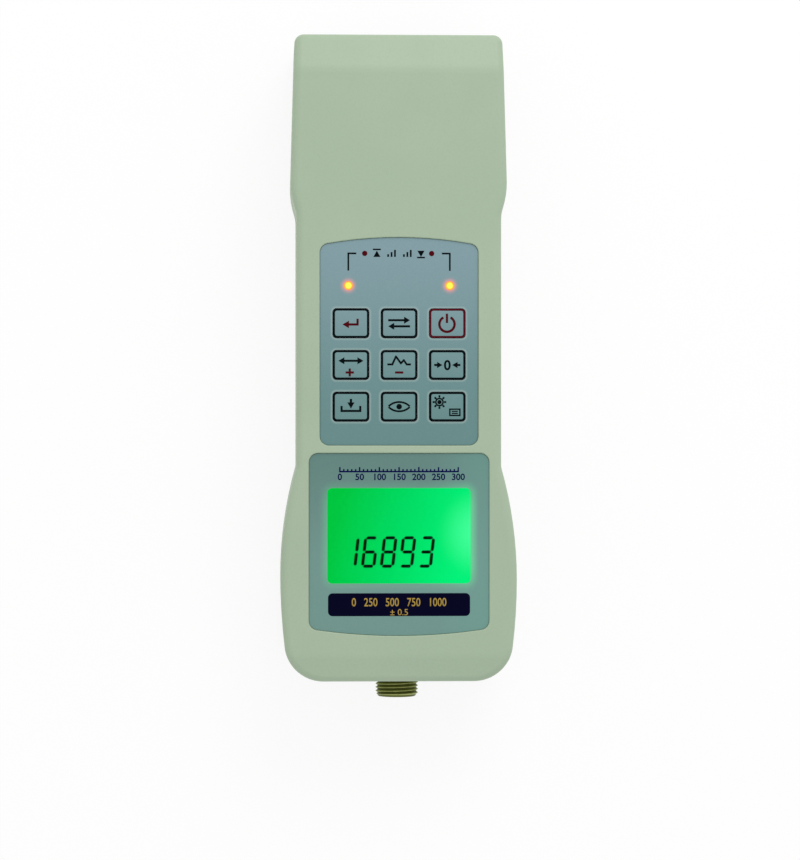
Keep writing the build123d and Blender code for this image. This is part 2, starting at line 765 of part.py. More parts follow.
with BuildPart() as backlight_box:
    with BuildSketch(Plane.XY.offset(board_top_z)):
        with Locations((0, window_centre_y)):
            Rectangle(glass_width, light_box_height)
            Rectangle(glass_width - 2 * light_box_wall, light_box_height - 2 * light_box_wall,
                      mode=Mode.SUBTRACT)
    extrude(amount=board_to_glass - diffuser_thickness)
save(backlight_box, "backlight_box")

with BuildPart() as backlight_lamps:
    with BuildSketch(Plane.XY.offset(board_top_z)):
        with Locations((0, window_centre_y)):
            with GridLocations(glass_width / backlight_columns, light_box_height / (backlight_rows + 1),
                               backlight_columns, backlight_rows):
                Rectangle(backlight_lamp_length, backlight_lamp_width)
    extrude(amount=backlight_lamp_height)
save(backlight_lamps, "backlight_lamps")

with BuildPart() as contact_strips:
    strip_pitch = glass_height - 2 * strip_inset - strip_thickness
    with BuildSketch(Plane.XY.offset(board_top_z)):
        with Locations((0, window_centre_y)):
            with GridLocations(1, strip_pitch, 1, 2):
                Rectangle(strip_length, strip_thickness)
    extrude(amount=board_to_glass)
save(contact_strips, "contact_strips")

with BuildPart() as lcd_bezel:
    with BuildSketch(Plane.XY.offset(board_top_z)):
        with Locations((0, window_centre_y)):
            RectangleRounded(bezel_width, bezel_height, bezel_wall)
            Rectangle(glass_width + 2 * bezel_gap, glass_height + 2 * bezel_gap, mode=Mode.SUBTRACT)
    extrude(amount=glass_top_z - board_top_z)
save(lcd_bezel, "lcd_bezel")

# ------------------------------------------------------------------ main board
with BuildPart() as main_board:
    with BuildSketch(Plane.XY.offset(board_z)):
        with Locations((0, (board_high_y + board_low_y) / 2)):
            RectangleRounded(board_width, board_high_y - board_low_y, board_corner_radius)
        with Locations(*board_posts):
            Circle(board_screw_radius + slip_gap, mode=Mode.SUBTRACT)
    extrude(amount=board_thickness)
save(main_board, "main_board")

with BuildPart() as board_screws:
    with BuildSketch(Plane.XY.offset(board_z - board_screw_head_height)):
        with Locations(*board_posts):
            Circle(board_screw_head_radius)
    extrude(amount=board_screw_head_height)
    fillet(board_screws.edges().group_by(Axis.Z)[0], board_screw_head_height / 3)
    with BuildSketch(Plane.XY.offset(board_z)):
        with Locations(*board_posts):
            Circle(board_screw_radius)
    extrude(amount=board_screw_length)
save(board_screws, "board_screws")

# integrated circuits on the board's front side, head end
with BuildPart() as board_chips:
    chip_y = board_high_y - chip_inset - processor_size / 2
    with BuildSketch(Plane.XY.offset(board_top_z)):
        with Locations((-chip_spacing / 2, chip_y)):
            Rectangle(processor_size, processor_size)
        with Locations((chip_spacing / 2, chip_y)):
            Rectangle(memory_length, memory_width)
    extrude(amount=chip_height)
save(board_chips, "board_chips")

with BuildPart() as keypad_connector:
    with BuildSketch(Plane.XY.offset(board_top_z)):
        with Locations((0, tail_slot_y)):
            Rectangle(connector_length, connector_depth)
    extrude(amount=connector_height)
    chamfer(keypad_connector.edges().group_by(Axis.Z)[-1], connector_chamfer)
    with BuildSketch(Plane.XY.offset(tail_stop_z)):
        with Locations((0, tail_slot_y)):
            Rectangle(tail_width + 2 * slip_gap, tail_thickness + 2 * slip_gap)
    extrude(amount=connector_bite, mode=Mode.SUBTRACT)
save(keypad_connector, "keypad_connector")

# parts on the board's rear side: sounder, storage capacitor, shielded amplifier
with BuildPart() as buzzer:
    with BuildSketch(Plane.XY.offset(board_z - buzzer_height)):
        with Locations((0, board_upper_screw_y - buzzer_setback)):
            Circle(buzzer_radius)
    extrude(amount=buzzer_height)
    fillet(buzzer.edges().group_by(Axis.Z)[0], buzzer_height / 10)
    with BuildSketch(Plane.XY.offset(board_z - buzzer_height)):
        with Locations((0, board_upper_screw_y - buzzer_setback)):
            Circle(buzzer_vent_radius)
    extrude(amount=buzzer_height / 2, mode=Mode.SUBTRACT)
save(buzzer, "buzzer")

with BuildPart() as capacitor:
    with BuildSketch(Plane.XY.offset(board_z - capacitor_height)):
        with Locations((capacitor_x, board_upper_screw_y - buzzer_setback)):
            Circle(capacitor_radius)
    extrude(amount=capacitor_height)
    fillet(capacitor.edges().group_by(Axis.Z)[0], capacitor_radius / 10)
save(capacitor, "capacitor")

with BuildPart() as amplifier_shield:
    with BuildSketch(Plane.XY.offset(board_z - shield_height)):
        with Locations((0, board_lower_screw_y + shield_setback)):
            RectangleRounded(shield_length, shield_width, 2 * shield_wall)
    extrude(amount=shield_height)
    with BuildSketch(Plane.XY.offset(board_z - shield_height + shield_wall)):
        with Locations((0, board_lower_screw_y + shield_setback)):
            Rectangle(shield_length - 2 * shield_wall, shield_width - 2 * shield_wall)
    extrude(amount=shield_height - shield_wall, mode=Mode.SUBTRACT)
save(amplifier_shield, "amplifier_shield")

# wire headers on the rear side: battery on one side, ports on the other, sensor at the tail
with BuildPart() as wire_headers:
    with BuildSketch(Plane.XY.offset(board_z - header_height)):
        with Locations((header_x, battery_header_y), (-header_x, battery_header_y), (0, sensor_header_y)):
            Rectangle(header_length, header_width)
    extrude(amount=header_height)
save(wire_headers, "wire_headers")

# ---------------------------------------------------------------- battery pack
with BuildPart() as battery_cells:
    with BuildSketch(Plane.XZ.offset(-pack_low_y - sleeve_thickness)):
        with Locations((0, pack_z + sleeve_height / 2)):
            with GridLocations(cell_diameter, cell_diameter, cells_across, 2):
                Circle(cell_diameter / 2)
    extrude(amount=-cell_length)
    with BuildSketch(Plane.XZ.offset(-pack_low_y - sleeve_thickness - cell_length)):
        with Locations((0, pack_z + sleeve_height / 2)):
            with GridLocations(cell_diameter, cell_diameter, cells_across, 2):
                Circle(cell_pole_radius)
    extrude(amount=-cell_pole_height)
save(battery_cells, "battery_cells")

with BuildPart() as battery_sleeve:
    with BuildSketch(Plane.XZ.offset(-pack_low_y)):
        with Locations((0, pack_z + sleeve_height / 2)):
            RectangleRounded(sleeve_width, sleeve_height, sleeve_corner_radius)
    extrude(amount=-sleeve_length)
    with BuildSketch(Plane.XZ.offset(-pack_low_y - sleeve_thickness)):
        with Locations((0, pack_z + sleeve_height / 2)):
            RectangleRounded(sleeve_width - 2 * sleeve_thickness, sleeve_height - 2 * sleeve_thickness,
                             sleeve_corner_radius - sleeve_thickness)
    extrude(amount=-sleeve_length + 2 * sleeve_thickness, mode=Mode.SUBTRACT)
    with BuildSketch(Plane.XZ.offset(-pack_low_y)):
        with Locations((0, pack_z + sleeve_height / 2)):
            RectangleRounded(sleeve_width - cell_diameter / 2, sleeve_height - cell_diameter / 2,
                             sleeve_corner_radius / 2)
    extrude(amount=-sleeve_length, mode=Mode.SUBTRACT)
save(battery_sleeve, "battery_sleeve")

with BuildPart() as battery_pad:
    with BuildSketch(Plane.XY.offset(pack_z + sleeve_height)):
        with Locations((0, pack_high_y - pad_length / 2 - sleeve_corner_radius)):
            RectangleRounded(pad_width, pad_length, pad_thickness)
    extrude(amount=thickness - wall - slip_gap - pack_z - sleeve_height)
save(battery_pad, "battery_pad")

# ------------------------------------------------------------- sensor socket
with BuildPart() as sensor_socket:
    with BuildSketch(Plane.XZ.offset(-mouth_y - socket_length)):
        with Locations((0, socket_height)):
            Circle(neck_radius)
    extrude(amount=socket_length)
    with BuildSketch(Plane.XZ.offset(thread_relief - tail_end)):
        with Locations((0, socket_height)):
            Circle(socket_radius)
    extrude(amount=socket_reach - thread_relief)
    chamfer(sensor_socket.edges().group_by(Axis.Y)[0], socket_chamfer)
    with BuildSketch(Plane.XZ.offset(-flange_y - flange_thickness)):
        with Locations((0, socket_height)):
            RectangleRounded(flange_size, flange_size, flange_corner_radius)
    extrude(amount=flange_thickness)
    with BuildSketch(Plane.XZ.offset(-mouth_y - socket_length)):
        with Locations((0, socket_height)):
            Circle(socket_bore_radius)
    extrude(amount=socket_length, mode=Mode.SUBTRACT)
save(sensor_socket, "sensor_socket")

with BuildPart() as socket_seal:
    with BuildSketch(Plane.XZ.offset(-flange_y)):
        with Locations((0, socket_height)):
            Circle(seal_radius)
            Circle(socket_radius + slip_gap, mode=Mode.SUBTRACT)
    extrude(amount=seal_thickness)
save(socket_seal, "socket_seal")

with BuildPart() as socket_insert:
    with BuildSketch(Plane.XZ.offset(-mouth_y - socket_length)):
        with Locations((0, socket_height)):
            Circle(socket_bore_radius - press_gap)
            with PolarLocations(pin_ring_radius, pin_count):
                Circle(pin_radius + press_gap, mode=Mode.SUBTRACT)
    extrude(amount=socket_length - socket_depth)
save(socket_insert, "socket_insert")

with BuildPart() as socket_pins:
    with BuildSketch(Plane.XZ.offset(-mouth_y - socket_length - solder_cup_length)):
        with Locations((0, socket_height)):
            with PolarLocations(pin_ring_radius, pin_count):
                Circle(pin_radius)
    extrude(amount=socket_length + solder_cup_length - pin_recess)
    fillet(socket_pins.edges().group_by(Axis.Y)[0], pin_radius / 2)
save(socket_pins, "socket_pins")

# ------------------------------------------------------------- head end ports
with BuildPart() as port_board:
    with BuildSketch(Plane.XY.offset(port_board_z)):
        with Locations((0, port_board_y)):
            Rectangle(port_board_width, port_board_length)
            with GridLocations(port_board_width - 2 * standoff_radius,
                               port_board_length - 2 * standoff_radius, 2, 2):
                Circle(port_screw_radius + slip_gap, mode=Mode.SUBTRACT)
    extrude(amount=port_board_thickness)
save(port_board, "port_board")

with BuildPart() as port_screws:
    with BuildSketch(Plane.XY.offset(port_z - port_screw_length)):
        with Locations((0, port_board_y)):
            with GridLocations(port_board_width - 2 * standoff_radius,
                               port_board_length - 2 * standoff_radius, 2, 2):
                Circle(port_screw_radius)
    extrude(amount=port_screw_length)
    with BuildSketch(Plane.XY.offset(port_z)):
        with Locations((0, port_board_y)):
            with GridLocations(port_board_width - 2 * standoff_radius,
                               port_board_length - 2 * standoff_radius, 2, 2):
                Circle(port_screw_head_radius)
    extrude(amount=port_screw_head_height)
    fillet(port_screws.edges().group_by(Axis.Z)[-1], port_screw_head_height / 3)
save(port_screws, "port_screws")

with BuildPart() as usb_port:
    with BuildSketch(Plane.XZ.offset(-port_mouth_y)):
        with Locations((usb_x, port_z + usb_height / 2)):
            Rectangle(usb_width, usb_height)
    extrude(amount=usb_length)
    with BuildSketch(Plane.XZ.offset(-port_mouth_y)) as usb_mouth:
        with Locations((usb_x, port_z + usb_height / 2)):
            Rectangle(usb_mouth_width, usb_mouth_height)
        chamfer(usb_mouth.vertices().group_by(Axis.Y)[-1], usb_mouth_bevel)
    extrude(amount=usb_mouth_depth, mode=Mode.SUBTRACT)
save(usb_port, "usb_port")

# plastic tongue inside the data port
with BuildPart() as usb_tongue:
    with BuildSketch(Plane.XZ.offset(usb_mouth_depth - port_mouth_y)):
        with Locations((usb_x, port_z + usb_height / 2)):
            Rectangle(usb_tongue_width, usb_tongue_height)
    extrude(amount=-usb_mouth_depth + usb_tongue_recess)
    chamfer(usb_tongue.edges().group_by(Axis.Y)[-1], usb_tongue_recess / 2)
save(usb_tongue, "usb_tongue")

with BuildPart() as dc_jack:
    with BuildSketch(Plane.XZ.offset(-port_mouth_y)):
        with Locations((jack_x, port_z + jack_height / 2)):
            Rectangle(jack_width, jack_height)
    extrude(amount=jack_length)
    with BuildSketch(Plane.XZ.offset(-port_mouth_y)):
        with Locations((jack_x, jack_axis_z)):
            Circle(jack_bore_radius)
    extrude(amount=jack_bore_depth, mode=Mode.SUBTRACT)
save(dc_jack, "dc_jack")

with BuildPart() as jack_pin:
    with BuildSketch(Plane.XZ.offset(jack_bore_depth - port_mouth_y)):
        with Locations((jack_x, jack_axis_z)):
            Circle(jack_pin_radius)
    extrude(amount=-jack_bore_depth + jack_pin_recess)
    fillet(jack_pin.edges().group_by(Axis.Y)[-1], jack_pin_radius / 2)
save(jack_pin, "jack_pin")

with BuildPart() as port_header:
    with BuildSketch(Plane.XY.offset(port_z)):
        with Locations((port_header_x, port_board_y - port_board_length / 2 + port_header_width / 2)):
            Rectangle(port_header_length, port_header_width)
    extrude(amount=port_header_height)
save(port_header, "port_header")

# flat cable: behind the pack's head end, down its left side, round to its header
with BuildPart() as port_cable:
    narrowest = min(waist_width, head_end_width)
    cable_x = -(narrowest / 2 - wall - cable_wall_gap - cable_thickness / 2)
    cable_head_y = port_board_y - port_board_length / 2 - cable_thickness / 2
    cable_foot_y = battery_header_y
    with BuildSketch(Plane.XY.offset(board_z - cable_drop - cable_width)):
        with BuildLine():
            FilletPolyline((port_header_x + port_header_length / 2, cable_head_y),
                           (cable_x, cable_head_y), (cable_x, cable_foot_y),
                           (-header_x - header_length / 2, cable_foot_y), radius=cable_bend)
        trace(line_width=cable_thickness)
    extrude(amount=cable_width)
save(port_cable, "port_cable")

# ------------------------------------------------------------------ wires
with BuildPart() as battery_leads:
    for side in (-1, 1):
        lead_x = header_x + side * battery_wire_pitch / 2
        lead_end_y = battery_header_y + header_width / 2
        with BuildLine() as lead:
            FilletPolyline((lead_x, pack_low_y + sleeve_thickness, board_top_z),
                           (lead_x, pack_low_y + sleeve_thickness - battery_wire_run, board_top_z),
                           (lead_x, lead_end_y + battery_wire_run, header_entry_z),
                           (lead_x, lead_end_y, header_entry_z), radius=battery_wire_bend)
        with BuildSketch(Plane(lead.line @ 0, z_dir=lead.line % 0)):
            Circle(wire_radius)
        sweep(path=lead.line)
save(battery_leads, "battery_leads")

with BuildPart() as sensor_leads:
    cup_end_y = mouth_y + socket_length + solder_cup_length
    for index in range(pin_count):
        turn = 2 * pi * index / pin_count
        pin_x = pin_ring_radius * cos(turn)
        pin_z = socket_height + pin_ring_radius * sin(turn)
        slot_x = sensor_wire_slots[index] * sensor_wire_pitch
        with BuildLine() as lead:
            FilletPolyline((pin_x, cup_end_y, pin_z), (pin_x, cup_end_y + sensor_wire_run, pin_z),
                           (slot_x, cup_end_y + sensor_wire_run + sensor_wire_fall, header_entry_z),
                           (slot_x, sensor_header_y - header_width / 2, header_entry_z),
                           radius=sensor_wire_bend)
        with BuildSketch(Plane(lead.line @ 0, z_dir=lead.line % 0)):
            Circle(wire_radius)
        sweep(path=lead.line)
save(sensor_leads, "sensor_leads")

# ------------------------------------------------------------------ fasteners
with BuildPart() as case_screws:
    with BuildSketch(Plane.XY.offset(case_screw_seat - case_screw_head_height)):
        with Locations(*case_posts):
            Circle(case_screw_head_radius)
    extrude(amount=case_screw_head_height)
    fillet(case_screws.edges().group_by(Axis.Z)[0], case_screw_head_height / 3)
    with BuildSketch(Plane.XY.offset(case_screw_seat)):
        with Locations(*case_posts):
            Circle(case_screw_radius)
    extrude(amount=case_screw_length)
    chamfer(case_screws.edges().group_by(Axis.Z)[-1], case_screw_radius / 3)
save(case_screws, "case_screws")

with BuildPart() as mount_inserts:
    with BuildSketch():
        with Locations((0, mount_centre_y)):
            with GridLocations(mount_width, mount_length, 2, 2):
                Circle(insert_radius)
                Circle(insert_bore_radius, mode=Mode.SUBTRACT)
    extrude(amount=insert_length)
save(mount_inserts, "mount_inserts")
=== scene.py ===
"""Looks of a hand-held digital force gauge, put together in the order of its assembly.

Metres. The gauge lies on its back: +Z out of its front face, +Y to the head end,
-Y to the sensor socket at the tail.
"""
import math

import bpy
from mathutils import Matrix, Vector


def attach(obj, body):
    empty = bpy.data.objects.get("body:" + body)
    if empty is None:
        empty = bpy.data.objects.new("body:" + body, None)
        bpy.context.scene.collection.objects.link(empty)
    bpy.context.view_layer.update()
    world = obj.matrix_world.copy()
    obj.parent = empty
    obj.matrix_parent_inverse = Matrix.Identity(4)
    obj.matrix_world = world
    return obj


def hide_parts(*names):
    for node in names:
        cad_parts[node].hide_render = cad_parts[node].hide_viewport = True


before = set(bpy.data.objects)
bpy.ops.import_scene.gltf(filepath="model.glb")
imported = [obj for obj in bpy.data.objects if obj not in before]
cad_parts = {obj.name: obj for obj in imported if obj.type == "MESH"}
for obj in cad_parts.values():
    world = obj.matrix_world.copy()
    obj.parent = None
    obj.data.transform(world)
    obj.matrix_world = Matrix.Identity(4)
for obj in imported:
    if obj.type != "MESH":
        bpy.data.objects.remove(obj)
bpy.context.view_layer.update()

# The construction nodes come in selected.
bpy.ops.object.select_all(action="DESELECT")
mm = 0.001

# ------------------------------------------------------------------- housing
# Two halves of ABS, moulded in pale sage green. The mould is spark eroded, so
# every outer face has a fine matt grain, with a faint mottle in the colour.
housing_green = (167, 186, 160)
housing_green_worn = (164, 184, 158)
housing_mottle = (146, 165, 140)
housing_roughness = 0.5
grain_scale = 2600.0          # grains in a metre
grain_depth = 0.02 * mm
cloud_scale = 30.0
mottle_scale = 1700.0
mottle_share = 0.12


class Channel:
    """A socket among a material's nodes. Sums on it add the Math nodes that work them out."""

    def __init__(self, tree, socket=None):
        self.tree = tree
        self.socket = socket

    def node(self, kind, settings, inputs, output=0):
        """Adds a node, sets it up, feeds its sockets and gives one of its outputs."""
        node = self.tree.nodes.new(kind)
        for setting, value in settings.items():
            if setting == "stops":
                elements = node.color_ramp.elements
                for index, (place, colour) in enumerate(value):
                    stop = elements[index] if index < 2 else elements.new(place)
                    stop.position = place
                    stop.color = colour
            else:
                setattr(node, setting, value)
        for name, value in inputs.items():
            if isinstance(value, Channel):
                self.tree.links.new(value.socket, node.inputs[name])
            else:
                node.inputs[name].default_value = value
        return Channel(self.tree, node.outputs[output])

    def sum(self, operation, *values):
        return self.node("ShaderNodeMath", {"operation": operation}, dict(enumerate(values)))

    def feed(self, shader, name):
        """Leads this channel into a socket of a shader."""
        self.tree.links.new(self.socket, shader.inputs[name])

    def __add__(self, other):
        return self.sum("ADD", self, other)

    def __sub__(self, other):
        return self.sum("SUBTRACT", self, other)

    def __rsub__(self, other):
        return self.sum("SUBTRACT", other, self)

    def __mul__(self, other):
        return self.sum("MULTIPLY", self, other)

    def __truediv__(self, other):
        return self.sum("DIVIDE", self, other)

    def __pow__(self, other):
        return self.sum("POWER", self, other)

    def __abs__(self):
        return self.sum("ABSOLUTE", self)

    __radd__ = __add__
    __rmul__ = __mul__


def paint(colour):
    """Display colour, 0 to 255, as the linear colour a shader works in."""
    linear = [value / 255 / 12.92 if value <= 10 else ((value / 255 + 0.055) / 1.055) ** 2.4
              for value in colour]
    return (*linear, 1.0)


def new_finish(name, constants):
    """A material, its Principled shader with these constants, and the place on the piece."""
    material = bpy.data.materials.new(name)
    material.use_nodes = True
    shader = material.node_tree.nodes["Principled BSDF"]
    for socket, value in constants.items():
        shader.inputs[socket].default_value = value
    place = Channel(material.node_tree).node("ShaderNodeTexCoord", {}, {}, "Object")
    return material, shader, place


def noise(place, scale, detail=2.0):
    return place.node("ShaderNodeTexNoise", {}, {"Vector": place, "Scale": scale, "Detail": detail})


def blend(factor, first, second):
    """First colour where the factor is 0, second where it is 1."""
    return factor.node("ShaderNodeMix", {"data_type": "RGBA"}, {0: factor, 6: first, 7: second}, 2)


def between(channel, low, high):
    """0 below low, 1 above high, and a smooth change between them."""
    return channel.node("ShaderNodeMapRange", {"interpolation_type": "SMOOTHSTEP"},
                        {"Value": channel, "From Min": low, "From Max": high})


def relief(height, depth):
    """Surface relief of that depth, in metres, for a shader's Normal."""
    return height.node("ShaderNodeBump", {}, {"Height": height, "Distance": depth, "Strength": 1.0})


def dress(material, *nodes):
    """Gives construction nodes this material."""
    for node in nodes:
        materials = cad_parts[node].data.materials
        materials.clear()
        materials.append(material)


housing_abs, shader, place = new_finish("housing_abs", {"IOR": 1.52, "Specular IOR Level": 0.4})
cloud = noise(place, cloud_scale, 3.0)
mottle = between(noise(place, mottle_scale, 0.0), 0.4, 0.8)
grain = noise(place, grain_scale, 2.0)
tint = blend(between(cloud, 0.38, 0.66), paint(housing_green), paint(housing_green_worn))
blend(mottle * mottle_share, tint, paint(housing_mottle)).feed(shader, "Base Color")
(housing_roughness + 0.1 * (grain - 0.5)).feed(shader, "Roughness")
relief(grain, grain_depth).feed(shader, "Normal")
dress(housing_abs, "front_shell", "rear_shell")

# -------------------------------------------------- stand inserts and case screws
# Four turned brass inserts are pressed into the rear shell. Six zinc-plated
# screws with pan heads and cross recesses go up through it into the front shell.
brass_bright = (214, 172, 92)
brass_dull = (176, 140, 74)
zinc_bright = (196, 198, 200)
zinc_dull = (158, 162, 168)
screw_pairs = ((23.1, 82.6), (21.5, 18.0), (23.5, -77.14))     # off the middle and along, in millimetres
screw_places = [(side * x * mm, y * mm) for x, y in screw_pairs for side in (-1, 1)]
screw_seat = 10.0 * mm
screw_head_sides = 36
screw_head_radius = 2.8 * mm
screw_head_height = 2.2 * mm
screw_radius = 1.5 * mm
screw_root = 1.2 * mm
screw_pitch = 1.3 * mm
screw_turns = 11
screw_point = 0.3             # share of the core's radius at the tip
recess_arm = 0.62 * mm
recess_reach = 1.3 * mm
recess_depth = 1.3 * mm
recess_taper = 0.45
rounding_steps = 5
hair = 0.01 * mm              # a corner this near to a height or an edge lies on it
close_enough = 0.0005 * mm    # corners nearer than this are one
tool_mark_depth = 0.008 * mm
drawn_along_z = (1.0, 1.0, 0.1)      # a metal's tool marks, drawn out along one way


def metal_finish(name, bright, dull, roughness, scale, stretch=(1.0, 1.0, 1.0)):
    """Metal whose tone and gloss vary along fine tool marks."""
    material, shader, place = new_finish(name, {"Metallic": 1.0})
    marks = noise(place.node("ShaderNodeMapping", {}, {"Vector": place, "Scale": stretch}), scale, 3.0)
    haze = noise(place, scale / 12, 2.0)
    shine = between(marks * 0.5 + haze * 0.5, 0.36, 0.62)
    blend(shine, paint(dull), paint(bright)).feed(shader, "Base Color")
    (roughness + 0.2 * (haze - 0.5)).feed(shader, "Roughness")
    relief(marks, tool_mark_depth).feed(shader, "Normal")
    return material


def pick(piece, kind, test):
    """Edit mode with only the vertices, edges or faces whose middle passes the test."""
    bpy.context.view_layer.objects.active = piece
    bpy.ops.object.mode_set(mode="EDIT")
    bpy.context.tool_settings.mesh_select_mode = (kind == "VERT", kind == "EDGE", kind == "FACE")
    bpy.ops.mesh.select_all(action="DESELECT")
    bpy.ops.object.mode_set(mode="OBJECT")
    mesh = piece.data
    for part in {"VERT": mesh.vertices, "EDGE": mesh.edges, "FACE": mesh.polygons}[kind]:
        corners = [part.index] if kind == "VERT" else part.vertices
        middle = sum((piece.matrix_world @ mesh.vertices[i].co for i in corners), Vector()) / len(corners)
        part.select = bool(test(middle, part))
    bpy.ops.object.mode_set(mode="EDIT")


def whole_mesh():
    """Edit mode on the active piece, with all of it selected."""
    bpy.ops.object.mode_set(mode="EDIT")
    bpy.ops.mesh.select_all(action="SELECT")


def only(*pieces):
    """Selects these pieces alone, the first of them active."""
    bpy.ops.object.select_all(action="DESELECT")
    for piece in pieces:
        piece.select_set(True)
    bpy.context.view_layer.objects.active = pieces[0]


def gather(name, pieces):
    """Joins pieces to one, with its place in its mesh and its faces outwards."""
    only(*pieces)
    if len(pieces) > 1:
        bpy.ops.object.join()
    bpy.ops.object.transform_apply(location=True, rotation=True, scale=True)
    piece = bpy.context.object
    piece.name = name
    whole_mesh()
    bpy.ops.mesh.remove_doubles(threshold=close_enough)
    bpy.ops.mesh.normals_make_consistent(inside=False)
    bpy.ops.object.mode_set(mode="OBJECT")
    return piece


def carve(piece, cutter, operation="DIFFERENCE"):
    """Cuts a piece with another, or unites them, and removes the other."""
    only(piece)
    change = piece.modifiers.new("cut", "BOOLEAN")
    change.operation = operation
    change.object = cutter
    change.solver = "EXACT"
    bpy.ops.object.modifier_apply(modifier=change.name)
    bpy.data.objects.remove(cutter)


def finish_piece(piece, material, body, smooth=None):
    """Gives a finished piece its material, its smooth shading if asked, and its body."""
    piece.data.materials.clear()
    piece.data.materials.append(material)
    if smooth:
        only(piece)
        bpy.ops.object.shade_smooth_by_angle(angle=math.radians(smooth))
    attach(piece, body)


turned_brass = metal_finish("turned_brass", brass_bright, brass_dull, 0.3, 1400.0, drawn_along_z)
dress(turned_brass, "mount_inserts")
zinc_plate = metal_finish("zinc_plate", zinc_bright, zinc_dull, 0.32, 1800.0)

first_x, first_y = screw_places[0]
bpy.ops.mesh.primitive_cylinder_add(vertices=screw_head_sides, radius=screw_head_radius,
                                    depth=screw_head_height,
                                    location=(first_x, first_y, screw_seat - screw_head_height / 2))
screw = bpy.context.object
pick(screw, "EDGE", lambda middle, part: middle.z < screw_seat - screw_head_height + hair)
bpy.ops.mesh.bevel(offset=screw_head_height / 3, segments=rounding_steps)
bpy.ops.object.mode_set(mode="OBJECT")
pick(screw, "FACE", lambda middle, part: middle.z > screw_seat - hair)
bpy.ops.mesh.inset(thickness=screw_head_radius - screw_root)
for turn in range(screw_turns):
    for radius_before, radius_after in ((screw_root, screw_radius), (screw_radius, screw_root)):
        bpy.ops.mesh.extrude_region_move(TRANSFORM_OT_translate={"value": (0, 0, screw_pitch / 2)})
        spread = radius_after / radius_before
        bpy.ops.transform.resize(value=(spread, spread, 1.0), center_override=(first_x, first_y, 0.0))
bpy.ops.mesh.extrude_region_move(TRANSFORM_OT_translate={"value": (0, 0, screw_pitch)})
bpy.ops.transform.resize(value=(screw_point, screw_point, 1.0), center_override=(first_x, first_y, 0.0))
bpy.ops.object.mode_set(mode="OBJECT")

bpy.ops.mesh.primitive_cube_add(size=1.0, location=(first_x, first_y, screw_seat - screw_head_height),
                                scale=(recess_arm, recess_arm, 2 * recess_depth))
cross = bpy.context.object
bpy.ops.object.transform_apply(location=False, rotation=False, scale=True)
pick(cross, "FACE", lambda middle, part: abs(part.normal.z) < 0.5)
bpy.ops.mesh.extrude_faces_move(TRANSFORM_OT_shrink_fatten={"value": recess_reach})
bpy.ops.object.mode_set(mode="OBJECT")
pick(cross, "VERT", lambda middle, part: middle.z > screw_seat - screw_head_height)
bpy.ops.transform.resize(value=(recess_taper, recess_taper, 1.0), center_override=(first_x, first_y, 0.0))
bpy.ops.object.mode_set(mode="OBJECT")
carve(screw, cross)

screws = [screw]
for place_x, place_y in screw_places[1:]:
    another = screw.copy()
    another.data = screw.data.copy()
    another.location = screw.location + Vector((place_x - first_x, place_y - first_y, 0.0))
    bpy.context.collection.objects.link(another)
    screws.append(another)
case_screw_set = gather("case_screw_set", screws)
finish_piece(case_screw_set, zinc_plate, "housing", 40.0)
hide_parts("case_screws")
dress(zinc_plate, "board_screws", "port_screws")

# ------------------------------------------------------------- sensor socket
# A panel connector of nickel-plated brass, gone dull, with an M12 x 1 thread for
# the plug's nut. A rubber washer seals its flange; four pins stand in its insert.
socket_z = 18.0 * mm
socket_mouth = -93.0 * mm
socket_rear = -78.2 * mm
socket_flange = -83.4 * mm
bore_radius = 4.7 * mm
bore_edge = 0.15 * mm
mouth_edge = 0.25 * mm
ring_sides = 72
thread_root = 5.42 * mm
thread_crest = 6.0 * mm
thread_pitch = 1.0 * mm
thread_run = 5.0 * mm
thread_chamfer = 0.95 * mm
thread_steps = 60             # in one turn
ridge_half_width = 0.48 * thread_pitch
flange_side = 16.0 * mm
flange_depth = 2.0 * mm
flange_corner = 1.5 * mm
olive_crest = (190, 194, 132)
# painted shade: the colour of the thread's grooves, darker than its crests
olive_groove_shade = (92, 98, 44)
olive_pit_depth = 0.01 * mm
nylon_black = (30, 30, 30)
nylon_faded = (38, 38, 39)
rubber_black = (24, 24, 25)
rubber_dusty = (34, 33, 32)
gilt_bright = (236, 196, 110)
gilt_dull = (210, 168, 84)
moulded_grain_depth = 0.01 * mm
around_y = (math.pi / 2, 0.0, 0.0)


def turned_along_y(profile, sides):
    """A ring turned about the socket's axis: the profile is a closed loop of (radius, y)."""
    radius, y = profile[0]
    bpy.ops.mesh.primitive_circle_add(vertices=sides, radius=radius, location=(0.0, y, socket_z),
                                      rotation=around_y)
    ring = bpy.context.object
    bpy.ops.object.transform_apply(location=True, rotation=True, scale=True)
    whole_mesh()
    for next_radius, next_y in profile[1:] + profile[:1]:
        bpy.ops.mesh.extrude_region_move(TRANSFORM_OT_translate={"value": (0, next_y - y, 0)})
        spread = next_radius / radius
        bpy.ops.transform.resize(value=(spread, 1.0, spread), center_override=(0.0, next_y, socket_z))
        radius, y = next_radius, next_y
    bpy.ops.object.mode_set(mode="OBJECT")
    return gather("turned_ring", [ring])


socket_body = turned_along_y([(bore_radius + bore_edge, socket_mouth),
                              (thread_root - mouth_edge, socket_mouth),
                              (thread_root, socket_mouth + mouth_edge),
                              (thread_root, socket_rear),
                              (bore_radius, socket_rear),
                              (bore_radius, socket_mouth + bore_edge)], ring_sides)

